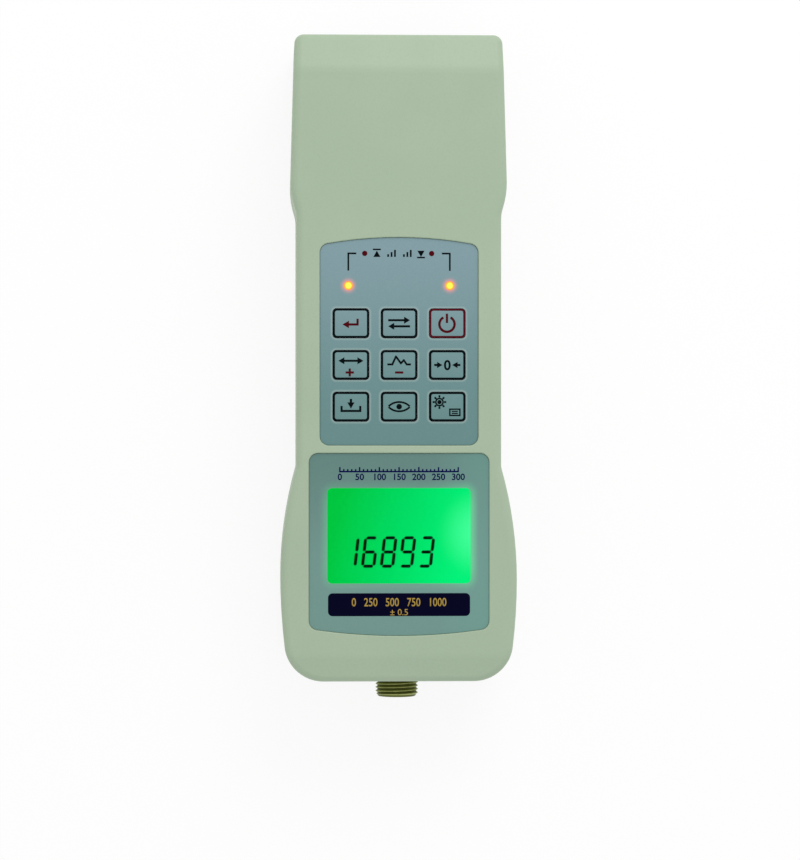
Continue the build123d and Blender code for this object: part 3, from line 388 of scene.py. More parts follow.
bpy.ops.mesh.primitive_cube_add(size=1.0, location=(0.0, socket_flange, socket_z),
                                scale=(flange_side, flange_depth, flange_side))
flange = bpy.context.object
bpy.ops.object.transform_apply(location=True, rotation=True, scale=True)
pick(flange, "EDGE", lambda middle, part: abs(middle.y - socket_flange) < hair)
bpy.ops.mesh.bevel(offset=flange_corner, segments=rounding_steps)
bpy.ops.object.mode_set(mode="OBJECT")
bpy.ops.mesh.primitive_cylinder_add(vertices=ring_sides, radius=bore_radius + 2 * bore_edge,
                                    depth=2 * flange_depth, location=(0.0, socket_flange, socket_z),
                                    rotation=around_y)
carve(flange, bpy.context.object)
carve(socket_body, flange, "UNION")

# The thread is a ridge wound round the body and cut to its crest by a chamfered
# cylinder, so that it runs out at the mouth as a cut thread does.
ridge_half_height = (thread_crest - bore_radius) / 2
ridge_past_bore = 0.06 * mm
bpy.ops.mesh.primitive_circle_add(vertices=4, radius=ridge_half_width,
                                  location=(0.0, socket_mouth - thread_pitch, socket_z))
ridge = bpy.context.object
whole_mesh()
bpy.ops.transform.resize(value=(ridge_half_height / ridge_half_width, 1.0, 1.0),
                         center_override=(0.0, 0.0, socket_z))
bpy.ops.transform.translate(value=(bore_radius + ridge_half_height + ridge_past_bore, 0.0, 0.0))
bpy.ops.object.mode_set(mode="OBJECT")
winding = ridge.modifiers.new("winding", "SCREW")
winding.axis = "Y"
winding.screw_offset = thread_pitch
winding.iterations = math.ceil(thread_run / thread_pitch) + 2
winding.steps = winding.render_steps = thread_steps
only(ridge)
bpy.ops.object.modifier_apply(modifier=winding.name)
bpy.ops.object.transform_apply(location=True, rotation=True, scale=True)
whole_mesh()
bpy.ops.mesh.fill_holes(sides=0)
bpy.ops.mesh.normals_make_consistent(inside=False)
bpy.ops.object.mode_set(mode="OBJECT")
bpy.ops.mesh.primitive_cylinder_add(vertices=ring_sides, radius=thread_crest, depth=thread_run,
                                    location=(0.0, socket_mouth + thread_run / 2, socket_z),
                                    rotation=around_y)
limit = bpy.context.object
bpy.ops.object.transform_apply(location=True, rotation=True, scale=True)
pick(limit, "EDGE", lambda middle, part: middle.y < socket_mouth + hair)
bpy.ops.mesh.bevel(offset=thread_chamfer, segments=1)
bpy.ops.object.mode_set(mode="OBJECT")
carve(ridge, limit, "INTERSECT")
carve(socket_body, ridge, "UNION")
threaded_socket = gather("threaded_socket", [socket_body])


def axes_of(place):
    """The place along x, y and z, one channel each."""
    split = place.node("ShaderNodeSeparateXYZ", {}, {"Vector": place}).socket.node
    return [Channel(place.tree, output) for output in split.outputs]


olive_nickel, shader, place = new_finish("olive_nickel", {"Metallic": 1.0})
across, _, up = axes_of(place)
from_axis = (across ** 2 + (up - socket_z) ** 2) ** 0.5
tarnish = noise(place, 700.0, 3.0)
# Painted shade: the thread's roots are painted darker than its crests, as shade in the grooves, and a
# tarnish noise dulls the crests at random.
crest_over_groove_shade = between(from_axis, thread_root + 0.02 * mm, thread_crest - 0.08 * mm)
groove_shade_and_tarnish = crest_over_groove_shade * (0.65 + 0.7 * (tarnish - 0.5))
blend(groove_shade_and_tarnish, paint(olive_groove_shade), paint(olive_crest)).feed(shader, "Base Color")
(0.4 + 0.25 * (tarnish - 0.5)).feed(shader, "Roughness")
relief(noise(place, 3200.0), olive_pit_depth).feed(shader, "Normal")
finish_piece(threaded_socket, olive_nickel, "housing", 30.0)
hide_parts("sensor_socket")


def moulded_finish(name, colour, drift, roughness, scale, constants=None):
    """Plastic or rubber whose tone drifts, with a fine grain in its gloss and surface."""
    material, shader, place = new_finish(name, constants or {"IOR": 1.5})
    grain = noise(place, scale, 2.0)
    drifted = between(noise(place, scale / 10, 3.0), 0.35, 0.65)
    blend(drifted, paint(colour), paint(drift)).feed(shader, "Base Color")
    (roughness + 0.15 * (grain - 0.5)).feed(shader, "Roughness")
    relief(grain, moulded_grain_depth).feed(shader, "Normal")
    return material


black_nylon = moulded_finish("black_nylon", nylon_black, nylon_faded, 0.45, 1800.0)
gold_flash = metal_finish("gold_flash", gilt_bright, gilt_dull, 0.22, 1500.0)
dress(black_nylon, "socket_insert", "dc_jack", "keypad_connector", "lcd_bezel")
dress(moulded_finish("seal_rubber", rubber_black, rubber_dusty, 0.75, 900.0), "socket_seal")
dress(gold_flash, "socket_pins")

# ------------------------------------------------------------ circuit boards
# Glass-fibre boards under green solder resist, which shows the copper tracks as
# lighter raised lines. The parts on them are soldered before the boards go in.
resist_green = (22, 92, 48)
track_green = (44, 128, 70)
bare_fibre = (196, 190, 150)
track_scale = 420.0
track_height = 0.03 * mm
epoxy_black = (34, 34, 36)
epoxy_grey = (44, 44, 46)
buzzer_black = (26, 26, 27)
buzzer_grey = (36, 36, 36)
header_cream = (226, 222, 206)
header_aged = (214, 209, 192)
tin_bright = (206, 206, 202)
tin_dull = (176, 178, 178)
foil_bright = (190, 194, 200)
foil_dull = (160, 165, 174)
drawn_along_y = (1.0, 0.1, 1.0)

board_resist, shader, place = new_finish("board_resist", {"IOR": 1.55})
tracks = place.node("ShaderNodeTexBrick", {"offset": 0.5, "squash": 2.0, "squash_frequency": 3},
                    {"Vector": place, "Scale": track_scale, "Mortar Size": 0.09,
                     "Mortar Smooth": 0.2}, 1)
weave = noise(place, 1600.0)
resist = blend(tracks, paint(resist_green), paint(track_green))
blend(0.15 * weave, resist, paint(bare_fibre)).feed(shader, "Base Color")
(0.28 + 0.2 * (weave - 0.5)).feed(shader, "Roughness")
relief(tracks, track_height).feed(shader, "Normal")
dress(board_resist, "main_board", "port_board")

dress(moulded_finish("chip_epoxy", epoxy_black, epoxy_grey, 0.6, 2400.0), "board_chips")
dress(moulded_finish("buzzer_case", buzzer_black, buzzer_grey, 0.4, 1200.0), "buzzer")
dress(moulded_finish("header_nylon", header_cream, header_aged, 0.5, 1500.0), "wire_headers", "port_header")
dress(metal_finish("tin_plate", tin_bright, tin_dull, 0.3, 1100.0, drawn_along_y), "amplifier_shield")
dress(metal_finish("capacitor_foil", foil_bright, foil_dull, 0.35, 900.0, drawn_along_z), "capacitor")

# -------------------------------------------------------------- lit display
# The display glass lies on a lit diffuser in a white light box. Two strips of
# conducting rubber join its edges to the board. The lamps at the right are brighter.
window_y = -47.04 * mm
window_half_width = 20.0 * mm
window_half_height = 13.3 * mm
display_dim = (0, 198, 62)
display_mid = (0, 219, 100)
display_bright = (2, 242, 124)
display_glare = (66, 255, 156)
crystal_off = (0, 12, 6)
crystal_edge = (0, 9, 4)
box_white = (238, 238, 232)
box_yellowed = (228, 228, 220)
diffuser_dim = (60, 160, 100)
diffuser_pale = (80, 180, 120)
silicone_pink = (216, 150, 140)
carbon_black = (38, 34, 36)
carbon_layers = 5000.0        # layers in a metre of rubber
glare_across = 1.12           # middle of the brightest patch, in half windows
glare_along = 0.05

dress(moulded_finish("light_box_white", box_white, box_yellowed, 0.4, 900.0), "backlight_box")

lit_diffuser, shader, place = new_finish("lit_diffuser", {"Roughness": 0.5, "Emission Strength": 0.8})
mottle = noise(place, 500.0)
blend(mottle, paint(display_mid), paint(display_bright)).feed(shader, "Emission Color")
blend(mottle, paint(diffuser_dim), paint(diffuser_pale)).feed(shader, "Base Color")
dress(lit_diffuser, "backlight_diffuser", "backlight_lamps")

conducting_rubber, shader, place = new_finish("conducting_rubber", {"Roughness": 0.7})
layers = axes_of(place)[0] * carbon_layers
layer = between(layers.sum("FRACT", layers), 0.4, 0.6)
smudge = 0.6 + 0.4 * noise(place, 900.0)
blend(layer * smudge, paint(silicone_pink), paint(carbon_black)).feed(shader, "Base Color")
dress(conducting_rubber, "contact_strips")

display_glass, shader, place = new_finish(
    "display_glass", {"Roughness": 0.3, "Emission Strength": 1.0, "Specular IOR Level": 0.0})
across, along, _ = axes_of(place)
to_right = across / window_half_width
to_head = (along - window_y) / window_half_height
slope = to_right * 0.5 - to_head * 0.08 + 0.5
ends = [(0.04, paint(display_dim)), (0.98, paint(display_bright))]
stops = ends + [(0.5, paint(display_mid))]
lit = slope.node("ShaderNodeValToRGB", {"stops": stops}, {"Fac": slope})
from_glare = ((to_right - glare_across) ** 2 + ((to_head - glare_along) * 0.62) ** 2) ** 0.5
glare = 1.0 - between(from_glare, 0.05, 0.62)
lit = blend(glare, lit, paint(display_glare))
fleck = noise(place, 3000.0)
blend(0.04 * fleck, lit, paint(display_dim)).feed(shader, "Emission Color")
blend(fleck, paint(crystal_off), paint(crystal_edge)).feed(shader, "Base Color")
dress(display_glass, "lcd_glass")

# The reading: five slanted figures of seven segments, dark where the liquid
# crystal is switched on. Each is a thin film between the glasses.
reading = "16893"
glass_top = 32.6 * mm
figure_pitch = 5.27           # sizes of prints and figures are in millimetres
figure_first = -13.35
figure_middle = -51.66
figure_half_width = 1.59
figure_half_height = 3.96
stroke_across = 0.9
stroke_along = 0.88
stroke_gap = 0.43
stroke_corner = 0.3
figure_slant = 0.115          # how far the top leans over, for each millimetre up
print_thickness = 0.03 * mm
arc_step = 9                  # degrees
arc_fewest_steps = 6
numeral_share = 0.7           # height of a numeral, as a share of the letter size
segments_of = {"1": "bc", "3": "abgcd", "6": "afgedc", "8": "abcdefg", "9": "abcdfg"}
digit_black = (0, 22, 4)
ink_paler = 5
ink_depth = 0.004 * mm


def flat_plate(width, height, x, y, turn=0.0, corner=0.0, corner_steps=1):
    """A flat rectangle in millimetres, turned by degrees, with its corners cut or rounded."""
    bpy.ops.mesh.primitive_plane_add(size=1.0)
    piece = bpy.context.object
    whole_mesh()
    bpy.ops.transform.resize(value=(width * mm, height * mm, 1.0), center_override=(0, 0, 0))
    if corner:
        bpy.ops.mesh.bevel(offset=corner * mm, affect="VERTICES", segments=corner_steps)
    bpy.ops.object.mode_set(mode="OBJECT")
    piece.rotation_euler = (0.0, 0.0, math.radians(turn))
    piece.location = (x * mm, y * mm, 0.0)
    return piece


def flat_corners(radius, x, y, corners, turn=0.0):
    """A flat disc or polygon in millimetres; a triangle turned by 0 points up."""
    bpy.ops.mesh.primitive_circle_add(vertices=corners, radius=radius * mm, fill_type="NGON",
                                      location=(x * mm, y * mm, 0.0),
                                      rotation=(0.0, 0.0, math.radians(turn)))
    return bpy.context.object


def flat_arc(radius, stroke, x, y, start, sweep):
    """A flat band bent round a centre: it starts at one angle and sweeps through another, in degrees."""
    bpy.ops.mesh.primitive_plane_add(size=stroke * mm)
    piece = bpy.context.object
    pick(piece, "VERT", lambda middle, part: middle.y > 0.0)
    bpy.ops.mesh.delete(type="VERT")
    bpy.ops.mesh.select_all(action="SELECT")
    bpy.ops.transform.translate(value=(radius * mm, stroke / 2 * mm, 0.0))
    bpy.ops.mesh.spin(steps=max(arc_fewest_steps, round(sweep / arc_step)), angle=-math.radians(sweep),
                      center=(0.0, 0.0, 0.0), axis=(0.0, 0.0, 1.0))
    bpy.ops.mesh.select_all(action="SELECT")
    bpy.ops.mesh.remove_doubles(threshold=2 * close_enough)
    bpy.ops.object.mode_set(mode="OBJECT")
    piece.rotation_euler = (0.0, 0.0, math.radians(start))
    piece.location = (x * mm, y * mm, 0.0)
    return piece


def numerals(text, height, x, y, width=None, weight=0.0):
    """Numerals of that height in millimetres, centred, stretched to a width if one is given."""
    bpy.ops.object.text_add()
    letters = bpy.context.object.data
    letters.body = text
    letters.size = height / numeral_share * mm
    letters.offset = weight * mm
    letters.resolution_u = 4
    letters.align_x = "CENTER"
    bpy.ops.object.convert(target="MESH")
    piece = bpy.context.object
    if width:
        piece.scale = (width * mm / piece.dimensions.x, 1.0, 1.0)
    piece.location = (x * mm, (y - height / 2) * mm, 0.0)
    return piece


def printed(name, parts, top, material, body, slant=0.0, slant_y=0.0):
    """Joins flat parts to one thin print, with its middle at the height top. It may lean over."""
    piece = gather(name, parts)
    layer = piece.modifiers.new("layer", "SOLIDIFY")
    layer.thickness = print_thickness
    layer.offset = 0.0
    bpy.ops.object.modifier_apply(modifier=layer.name)
    if slant:
        lean = Matrix(((1.0, slant, 0.0, -slant * slant_y * mm), (0.0, 1.0, 0.0, 0.0),
                       (0.0, 0.0, 1.0, 0.0), (0.0, 0.0, 0.0, 1.0)))
        piece.data.transform(lean)
    piece.data.transform(Matrix.Translation((0.0, 0.0, top)))
    whole_mesh()
    bpy.ops.mesh.normals_make_consistent(inside=False)
    bpy.ops.mesh.intersect_boolean(operation="UNION", use_self=True, solver="EXACT")
    bpy.ops.object.mode_set(mode="OBJECT")
    finish_piece(piece, material, body)


def ink(name, colour, roughness=0.6):
    """Screen ink, with the slight mottle and texture of the mesh it is pressed through."""
    material, shader, place = new_finish(name, {"IOR": 1.45, "Specular IOR Level": 0.03})
    mottle = noise(place, 4200.0, 1.0)
    paler = [value + ink_paler for value in colour]
    blend(mottle * 0.6, paint(colour), paint(paler)).feed(shader, "Base Color")
    (roughness + 0.2 * (mottle - 0.5)).feed(shader, "Roughness")
    relief(mottle, ink_depth).feed(shader, "Normal")
    return material


# Place of each segment in half figures, to the right and up: a is the top one, b to f
# follow clockwise, and g is the middle one.
segment_places = {"a": (0, 1), "b": (1, 0.5), "c": (1, -0.5), "d": (0, -1), "e": (-1, -0.5),
                  "f": (-1, 0.5), "g": (0, 0)}
flat_stroke = (2 * figure_half_width - stroke_gap, stroke_along)
upright_stroke = (stroke_across, figure_half_height - stroke_gap)
segments = []
for index, figure in enumerate(reading):
    figure_x = figure_first + index * figure_pitch
    for letter in segments_of[figure]:
        halves_right, halves_up = segment_places[letter]
        width, height = upright_stroke if halves_right else flat_stroke
        segments.append(flat_plate(width, height, figure_x + halves_right * figure_half_width,
                                   figure_middle + halves_up * figure_half_height, corner=stroke_corner))
printed("reading_figures", segments, glass_top, ink("crystal_black", digit_black, 0.3),
        "housing", figure_slant, figure_middle)

# ------------------------------------------------------------- display lens
# A clear acrylic lens, dropped into the shell from the front before the panel film
# goes over its flange. Light goes straight through it, but for a faint sheen.
lens_tint = (0.985, 1.0, 0.985, 1.0)
straight_on_sheen = 0.0205    # what a clear pane reflects when looked at straight

clear_acrylic = bpy.data.materials.new("clear_acrylic")
clear_acrylic.use_nodes = True
tree = clear_acrylic.node_tree
tree.nodes.clear()
start = Channel(tree)
place = start.node("ShaderNodeTexCoord", {}, {}, "Object")
smear = noise(place, 180.0, 3.0)
through = start.node("ShaderNodeBsdfTransparent", {}, {"Color": lens_tint})
sheen = start.node("ShaderNodeBsdfGlossy", {}, {"Color": (1.0, 1.0, 1.0, 1.0), "Roughness": 0.05})
slant = start.node("ShaderNodeFresnel", {}, {"IOR": 1.35}) - straight_on_sheen
outer_face = 1.0 - start.node("ShaderNodeNewGeometry", {}, {}, "Backfacing")
surface = start.node("ShaderNodeMixShader", {}, {0: slant * outer_face * (0.7 + 0.4 * smear),
                                                 1: through, 2: sheen})
output = tree.nodes.new("ShaderNodeOutputMaterial")
tree.links.new(surface.socket, output.inputs["Surface"])
dress(clear_acrylic, "lcd_window")

# ------------------------------------------------------- display panel film
# Polyester film in silvery blue-grey, printed and glued round the window. A green glow is painted into the
# film's emission round the window, stronger to the right: painted light from the display.
film_top = 35.5 * mm
panel_high = -24.0 * mm
panel_low = -58.0 * mm
# Painted light and shade: the film's tone runs from darker at its top to lighter at its bottom, and it is
# painted lighter and greener towards the right.
panel_tone_high = (93, 128, 122)
panel_tone_low = (108, 146, 138)
panel_tone_right_lit = (108, 158, 146)
window_corner = 1.4 * mm
painted_glow_green = (0, 190, 88)
painted_light_right_side = (6.0 * mm, 24.0 * mm)      # across, from where it starts to where it is full
painted_glow_side = (6.0 * mm, 21.0 * mm)
painted_glow_ends = (8.0 * mm, 14.0 * mm)         # off the window's middle, along
painted_glow_edge = (-0.5 * mm, 2.6 * mm)         # out from the window
no_light = (0.0, 0.0, 0.0, 1.0)
film_roughness = 0.42
fleck_depth = 0.003 * mm
fleck_paler = 16
navy = (2, 2, 30)
title_navy = (2, 6, 66)
gold = (172, 144, 70)
scale_half = 16.5             # half the length of the printed scale
scale_stroke = 0.42
scale_line_y = -29.15
scale_numeral_y = -30.6
scale_step = 50
scale_steps = 6
ticks_in_step = 5
long_tick = 1.25
short_tick = 0.7
tick_width = 0.4
small_numeral = 1.75
large_numeral = 2.3
label_width = 39.6
label_height = 6.38
label_y = -66.22
label_corner = 1.25
range_y = -65.5
range_width = 26.4
tolerance_y = -68.3


def film_colour_painted_light(place, along, low, high, tone_low, tone_high):
    """Film colour with a fine metallic fleck, running from one tone to another along the gauge as painted
    light and shade.
    """
    fleck = noise(place, 5200.0, 1.0)
    change = between(along, low, high)
    tone = blend(change, paint(tone_low), paint(tone_high))
    pale_low = [value + fleck_paler for value in tone_low]
    pale_high = [value + fleck_paler for value in tone_high]
    pale = blend(change, paint(pale_low), paint(pale_high))
    return blend(between(fleck, 0.45, 0.75) * 0.35, tone, pale), fleck


def outside_box(x, y, half_width, half_height, corner):
    """Distance from a rounded rectangle round the origin, for places outside it."""
    past_x = abs(x) - (half_width - corner)
    past_y = abs(y) - (half_height - corner)
    past_x = past_x.sum("MAXIMUM", past_x, 0.0)
    past_y = past_y.sum("MAXIMUM", past_y, 0.0)
    return (past_x ** 2 + past_y ** 2) ** 0.5 - corner


def film_surface(fleck, shader, roughness):
    """Satin gloss and the slight relief of a film's metallic fleck."""
    (roughness + 0.12 * (fleck - 0.5)).feed(shader, "Roughness")
    relief(fleck, fleck_depth).feed(shader, "Normal")


film_settings = {"IOR": 1.5, "Specular IOR Level": 0.35, "Emission Strength": 1.0}
panel_film, shader, place = new_finish("panel_film", film_settings)
across, along, _ = axes_of(place)
colour, fleck = film_colour_painted_light(place, along, panel_low, panel_high, panel_tone_low, panel_tone_high)
painted_light_right = 0.5 * between(across, *painted_light_right_side)
blend(painted_light_right, colour, paint(panel_tone_right_lit)).feed(shader, "Base Color")
film_surface(fleck, shader, film_roughness)
distance = outside_box(across, along - window_y, window_half_width, window_half_height, window_corner)
painted_glow_right = 0.28 + 0.34 * between(across, *painted_glow_side)
painted_glow_mid_height = 1.0 - 0.5 * between(abs(along - window_y), *painted_glow_ends)
painted_glow = (1.0 - between(distance, *painted_glow_edge)) * painted_glow_right * painted_glow_mid_height
blend(painted_glow, no_light, paint(painted_glow_green)).feed(shader, "Emission Color")
dress(panel_film, "display_overlay")

# Prints on it: a scale in navy over the window and a navy label with the range
# in gold under it.
tick_pitch = 2 * scale_half / (scale_steps * ticks_in_step)
parts = [flat_plate(2 * scale_half + tick_width, scale_stroke, 0.0, scale_line_y)]
for tick in range(scale_steps * ticks_in_step + 1):
    length = short_tick if tick % ticks_in_step else long_tick
    tick_x = tick * tick_pitch - scale_half
    parts.append(flat_plate(tick_width, length, tick_x, scale_line_y + length / 2))
for step in range(scale_steps + 1):
    numeral_x = step * ticks_in_step * tick_pitch - scale_half
    parts.append(numerals(str(step * scale_step), small_numeral, numeral_x, scale_numeral_y, weight=0.05))
printed("panel_scale", parts, film_top, ink("navy_ink", title_navy), "housing")
label = flat_plate(label_width, label_height, 0.0, label_y, corner=label_corner, corner_steps=6)
printed("range_label", [label], film_top, ink("label_navy", navy, 0.5), "housing")
marks = [numerals("0   250   500   750   1000", large_numeral, 0.0, range_y, range_width, 0.04),
         numerals("± 0.5", small_numeral, 0.0, tolerance_y, weight=0.02)]
printed("range_marks", marks, film_top + print_thickness / 2, ink("gold_ink", gold), "housing")

# ------------------------------------------------------------------- keypad
# A laminate glued into its pocket: printed circuit, snap domes and spacer under a
# polyester film. Two amber lamps light through it, and each key is embossed.
circuit_clear = (188, 196, 190)
circuit_silver = (150, 152, 150)
keypad_tone_low = (98, 136, 135)
# Painted light: the keypad film and the keys' film are painted lighter at the head end and darker towards
# the tail, as light falls from the head end.
keypad_tone_high = (125, 154, 161)
keypad_tone_change = (-18.0 * mm, 37.0 * mm)
lamp_x = 14.13 * mm
lamp_y = 22.64 * mm
lamp_core = (255, 246, 70)
lamp_rim = (255, 150, 20)
painted_lamp_halo = (255, 70, 36)
lamp_core_edge = (0.6 * mm, 1.2 * mm)     # from a lamp's middle
lamp_streak = 0.15 * mm
painted_halo_edge = (0.8 * mm, 3.1 * mm)
lamp_resin_core = (120, 90, 20)
lamp_resin_rim = (130, 50, 10)
spacer_milky = (206, 210, 204)
spacer_grey = (196, 200, 194)
dome_bright = (202, 200, 192)
dome_dull = (178, 177, 170)
key_pitch_x = 13.43 * mm
key_pitch_y = 11.61 * mm
key_row_y = 0.54 * mm
keys_half_x = 1.5 * key_pitch_x
keys_half_y = 1.5 * key_pitch_y
emboss_half_width = 5.15 * mm
emboss_half_height = 4.2 * mm
emboss_corner = 1.1 * mm
emboss_edge = (0.1 * mm, 0.75 * mm)
# painted highlight on the film round each key
painted_emboss_highlight = (176, 196, 192)

printed_circuit, shader, place = new_finish("printed_circuit", {"Roughness": 0.5})
tracks = place.node("ShaderNodeTexBrick", {"offset": 0.5},
                    {"Vector": place, "Scale": 300.0, "Mortar Size": 0.12}, 1)
silver = tracks * (0.8 + 0.2 * noise(place, 900.0))
blend(silver, paint(circuit_clear), paint(circuit_silver)).feed(shader, "Base Color")
dress(printed_circuit, "keypad_circuit", "keypad_tail")
dress(moulded_finish("spacer_film", spacer_milky, spacer_grey, 0.4, 1000.0), "keypad_spacer")
dress(metal_finish("dome_spring", dome_bright, dome_dull, 0.22, 1300.0), "snap_domes")


def distance_from_lamp(across, along):
    """Distance from the middle of the nearer lamp."""
    return ((abs(across) - lamp_x) ** 2 + (along - lamp_y) ** 2) ** 0.5


resin_settings = {"Roughness": 0.15, "Emission Strength": 1.0, "IOR": 1.55}
lamp_resin, shader, place = new_finish("lamp_resin", resin_settings)
across, along, _ = axes_of(place)
streak = noise(place, 2500.0)
uneven = distance_from_lamp(across, along) + lamp_streak * (streak - 0.5)
rim = between(uneven, *lamp_core_edge)
blend(rim, paint(lamp_core), paint(lamp_rim)).feed(shader, "Emission Color")
blend(rim, paint(lamp_resin_core), paint(lamp_resin_rim)).feed(shader, "Base Color")
dress(lamp_resin, "lamp_high", "lamp_low")

# Round each key, where the film is drawn up, its colour is painted paler: a painted highlight. The pattern
# repeats with the keys' pitch and stops past the outer rows and columns.
keypad_film, shader, place = new_finish("keypad_film", film_settings)
across, along, _ = axes_of(place)
colour, fleck = film_colour_painted_light(place, along, *keypad_tone_change, keypad_tone_low, keypad_tone_high)
column = (across + keys_half_x) / key_pitch_x
row = (along - key_row_y + keys_half_y) / key_pitch_y
in_column = (column.sum("FRACT", column) - 0.5) * key_pitch_x
in_row = (row.sum("FRACT", row) - 0.5) * key_pitch_y
distance = outside_box(in_column, in_row, emboss_half_width, emboss_half_height, emboss_corner)
past_keys = outside_box(across, along - key_row_y, keys_half_x, keys_half_y, 0.0)
painted_emboss_sheen = (1.0 - between(distance, *emboss_edge)) * (1.0 - between(past_keys, 0.0, emboss_edge[0]))
blend(painted_emboss_sheen * 0.42, colour, paint(painted_emboss_highlight)).feed(shader, "Base Color")
film_surface(fleck, shader, film_roughness)
# Painted light: an orange-red glow is painted into the film's emission round each lamp.
painted_halo = (1.0 - between(distance_from_lamp(across, along), *painted_halo_edge)) ** 2.2
blend(painted_halo * 0.62, no_light, paint(painted_lamp_halo)).feed(shader, "Emission Color")
dress(keypad_film, "keypad_overlay")

# Prints on the film: a lead from each alarm's mark down to its lamp, a red dot, and
# the signs for the upper and the lower limit.
black = (3, 9, 12)
dark_red = (76, 7, 16)
alarm_y = 31.6
lead_stroke = 0.48
lead_down = 4.9
lead_down_x = 14.15
lead_down_y = 29.25
lead_in = 2.45
lead_in_x = 13.15
dot_radius = 0.74
dot_places = (-9.58, 9.08)
limit_places = ((-6.2, 1), (6.1, -1))        # upper limit, lower limit
limit_y = 31.5
limit_radius = 1.15
limit_off = 0.3
limit_bar = 2.2
limit_bar_off = 1.12
limit_bar_stroke = 0.42
level_places = (-2.1, 2.3)
level_bar = 0.5
level_pitch = 0.95
level_first = 0.75            # height of the first bar, and the rise from bar to bar
level_rise = 0.6
level_foot_y = 30.65
print_black = ink("print_black", black)
print_red = ink("print_red", dark_red)
parts = []
for side in (-1, 1):
    parts += [flat_plate(lead_stroke, lead_down, side * lead_down_x, lead_down_y),
              flat_plate(lead_in, lead_stroke, side * lead_in_x, alarm_y)]
for x, upward in limit_places:
    parts += [flat_corners(limit_radius, x, limit_y - upward * limit_off, 3, 90.0 - upward * 90.0),
              flat_plate(limit_bar, limit_bar_stroke, x, alarm_y + upward * limit_bar_off)]
for x in level_places:
    for step in range(3):
        height = level_first + step * level_rise
        bar_x = x + (step - 1) * level_pitch
        parts.append(flat_plate(level_bar, height, bar_x, level_foot_y + height / 2))
printed("alarm_leads", parts, film_top, print_black, "housing")
printed("alarm_dots", [flat_corners(dot_radius, x, alarm_y, 24) for x in dot_places],
        film_top, print_red, "housing")

# --------------------------------------------------------------------- keys
# Each key is a pad of the same film, embossed and printed: a black line round it,
# dark red on the power key, and its sign in the middle. It snaps down by 0.35 mm.
key_top = 35.75 * mm
face_width = 8.9 * mm
face_height = 7.0 * mm
face_corner = 0.6 * mm
face_proud = 0.1 * mm
face_slope = 0.28 * mm        # width of the slope round a face, and its drop
face_slope_drop = 0.07 * mm
line_black = (3, 10, 14)
line_red = (80, 14, 26)
mark_width = 2.31
mark_height = 2.2
mark_stroke = 0.6
mark_drop = 2.1               # from the middle of its key
plus_shift = -0.33
key_film_roughness = 0.4
key_line_black = ink("key_line_black", line_black)
key_line_red = ink("key_line_red", line_red)

# painted light: the same tone, lighter at the head end and darker at the tail, as on the keypad film
key_film, shader, place = new_finish("key_film", {"IOR": 1.5, "Specular IOR Level": 0.35})
across, along, _ = axes_of(place)
colour, fleck = film_colour_painted_light(place, along, *keypad_tone_change, keypad_tone_low, keypad_tone_high)
colour.feed(shader, "Base Color")
film_surface(fleck, shader, key_film_roughness)

bpy.ops.mesh.primitive_cube_add(size=1.0, location=(0.0, 0.0, key_top),
                                scale=(face_width, face_height, 2 * face_proud))
face = bpy.context.object
bpy.ops.object.transform_apply(location=True, rotation=True, scale=True)
pick(face, "EDGE", lambda middle, part: abs(middle.z - key_top) < hair)
bpy.ops.mesh.bevel(offset=face_corner, segments=6)
bpy.ops.object.mode_set(mode="OBJECT")
pick(face, "FACE", lambda middle, part: middle.z > key_top + face_proud - hair)
bpy.ops.mesh.inset(thickness=face_slope)
bpy.ops.object.mode_set(mode="OBJECT")
pick(face, "VERT", lambda middle, part: middle.z > key_top + face_proud - hair
     and max(abs(middle.x) - face_width / 2, abs(middle.y) - face_height / 2) > hair - face_slope)
bpy.ops.transform.translate(value=(0.0, 0.0, -face_slope_drop))
bpy.ops.object.mode_set(mode="OBJECT")


def arrow(length, x, y, turn, stroke=0.6, head=1.12):
    """An arrow whose middle is at x, y; turned by 0 it points to the right."""
    ahead = Vector((math.cos(math.radians(turn)), math.sin(math.radians(turn))))
    tip = Vector((x, y)) + ahead * (length / 2 - head)
    bare_tip = head * 1.4                    # the stroke ends just inside the head
    tail = Vector((x, y)) - ahead * (bare_tip / 2)
    return [flat_corners(head, tip.x, tip.y, 3, turn - 90.0),
            flat_plate(length - bare_tip, stroke, tail.x, tail.y, turn)]


# The signs, drawn in millimetres round the middle of their key.
def set_sign(x, y):
    return arrow(4.5, x - 0.1, y - 0.35, 180.0, 0.62, 1.2) + [flat_plate(0.62, 1.9, x + 1.85, y + 0.29)]


def units_sign(x, y):
    return arrow(6.1, x, y + 0.85, 0.0) + arrow(6.1, x, y - 0.85, 180.0)


def power_sign(x, y):
    return [flat_arc(2.12, 0.68, x - 0.1, y - 0.25, 118.0, 304.0), flat_plate(0.62, 2.6, x - 0.1, y + 1.4)]


def plus_sign(x, y):
    return (arrow(3.5, x + 1.75, y + 1.15, 0.0) + arrow(3.5, x - 1.75, y + 1.15, 180.0)
            + [flat_plate(1.8, 0.6, x, y + 1.15)])


def minus_sign(x, y):
    wave = [(-3.1, 0.15), (-1.9, 0.15), (-0.9, 2.35), (0.5, 0.45), (1.3, 1.35), (2.1, 0.15), (3.1, 0.15)]
    strokes = []
    for (x0, y0), (x1, y1) in zip(wave, wave[1:]):
        run = math.hypot(x1 - x0, y1 - y0)
        strokes.append(flat_plate(run + 0.36, 0.55, x + (x0 + x1) / 2, y + (y0 + y1) / 2,
                                  math.degrees(math.atan2(y1 - y0, x1 - x0))))
    return strokes


def zero_sign(x, y):
    return (arrow(2.3, x - 2.5, y, 0.0, 0.6, 1.0) + arrow(2.3, x + 2.5, y, 180.0, 0.6, 1.0)
            + [numerals("0", 2.7, x, y, 1.9, 0.1)])


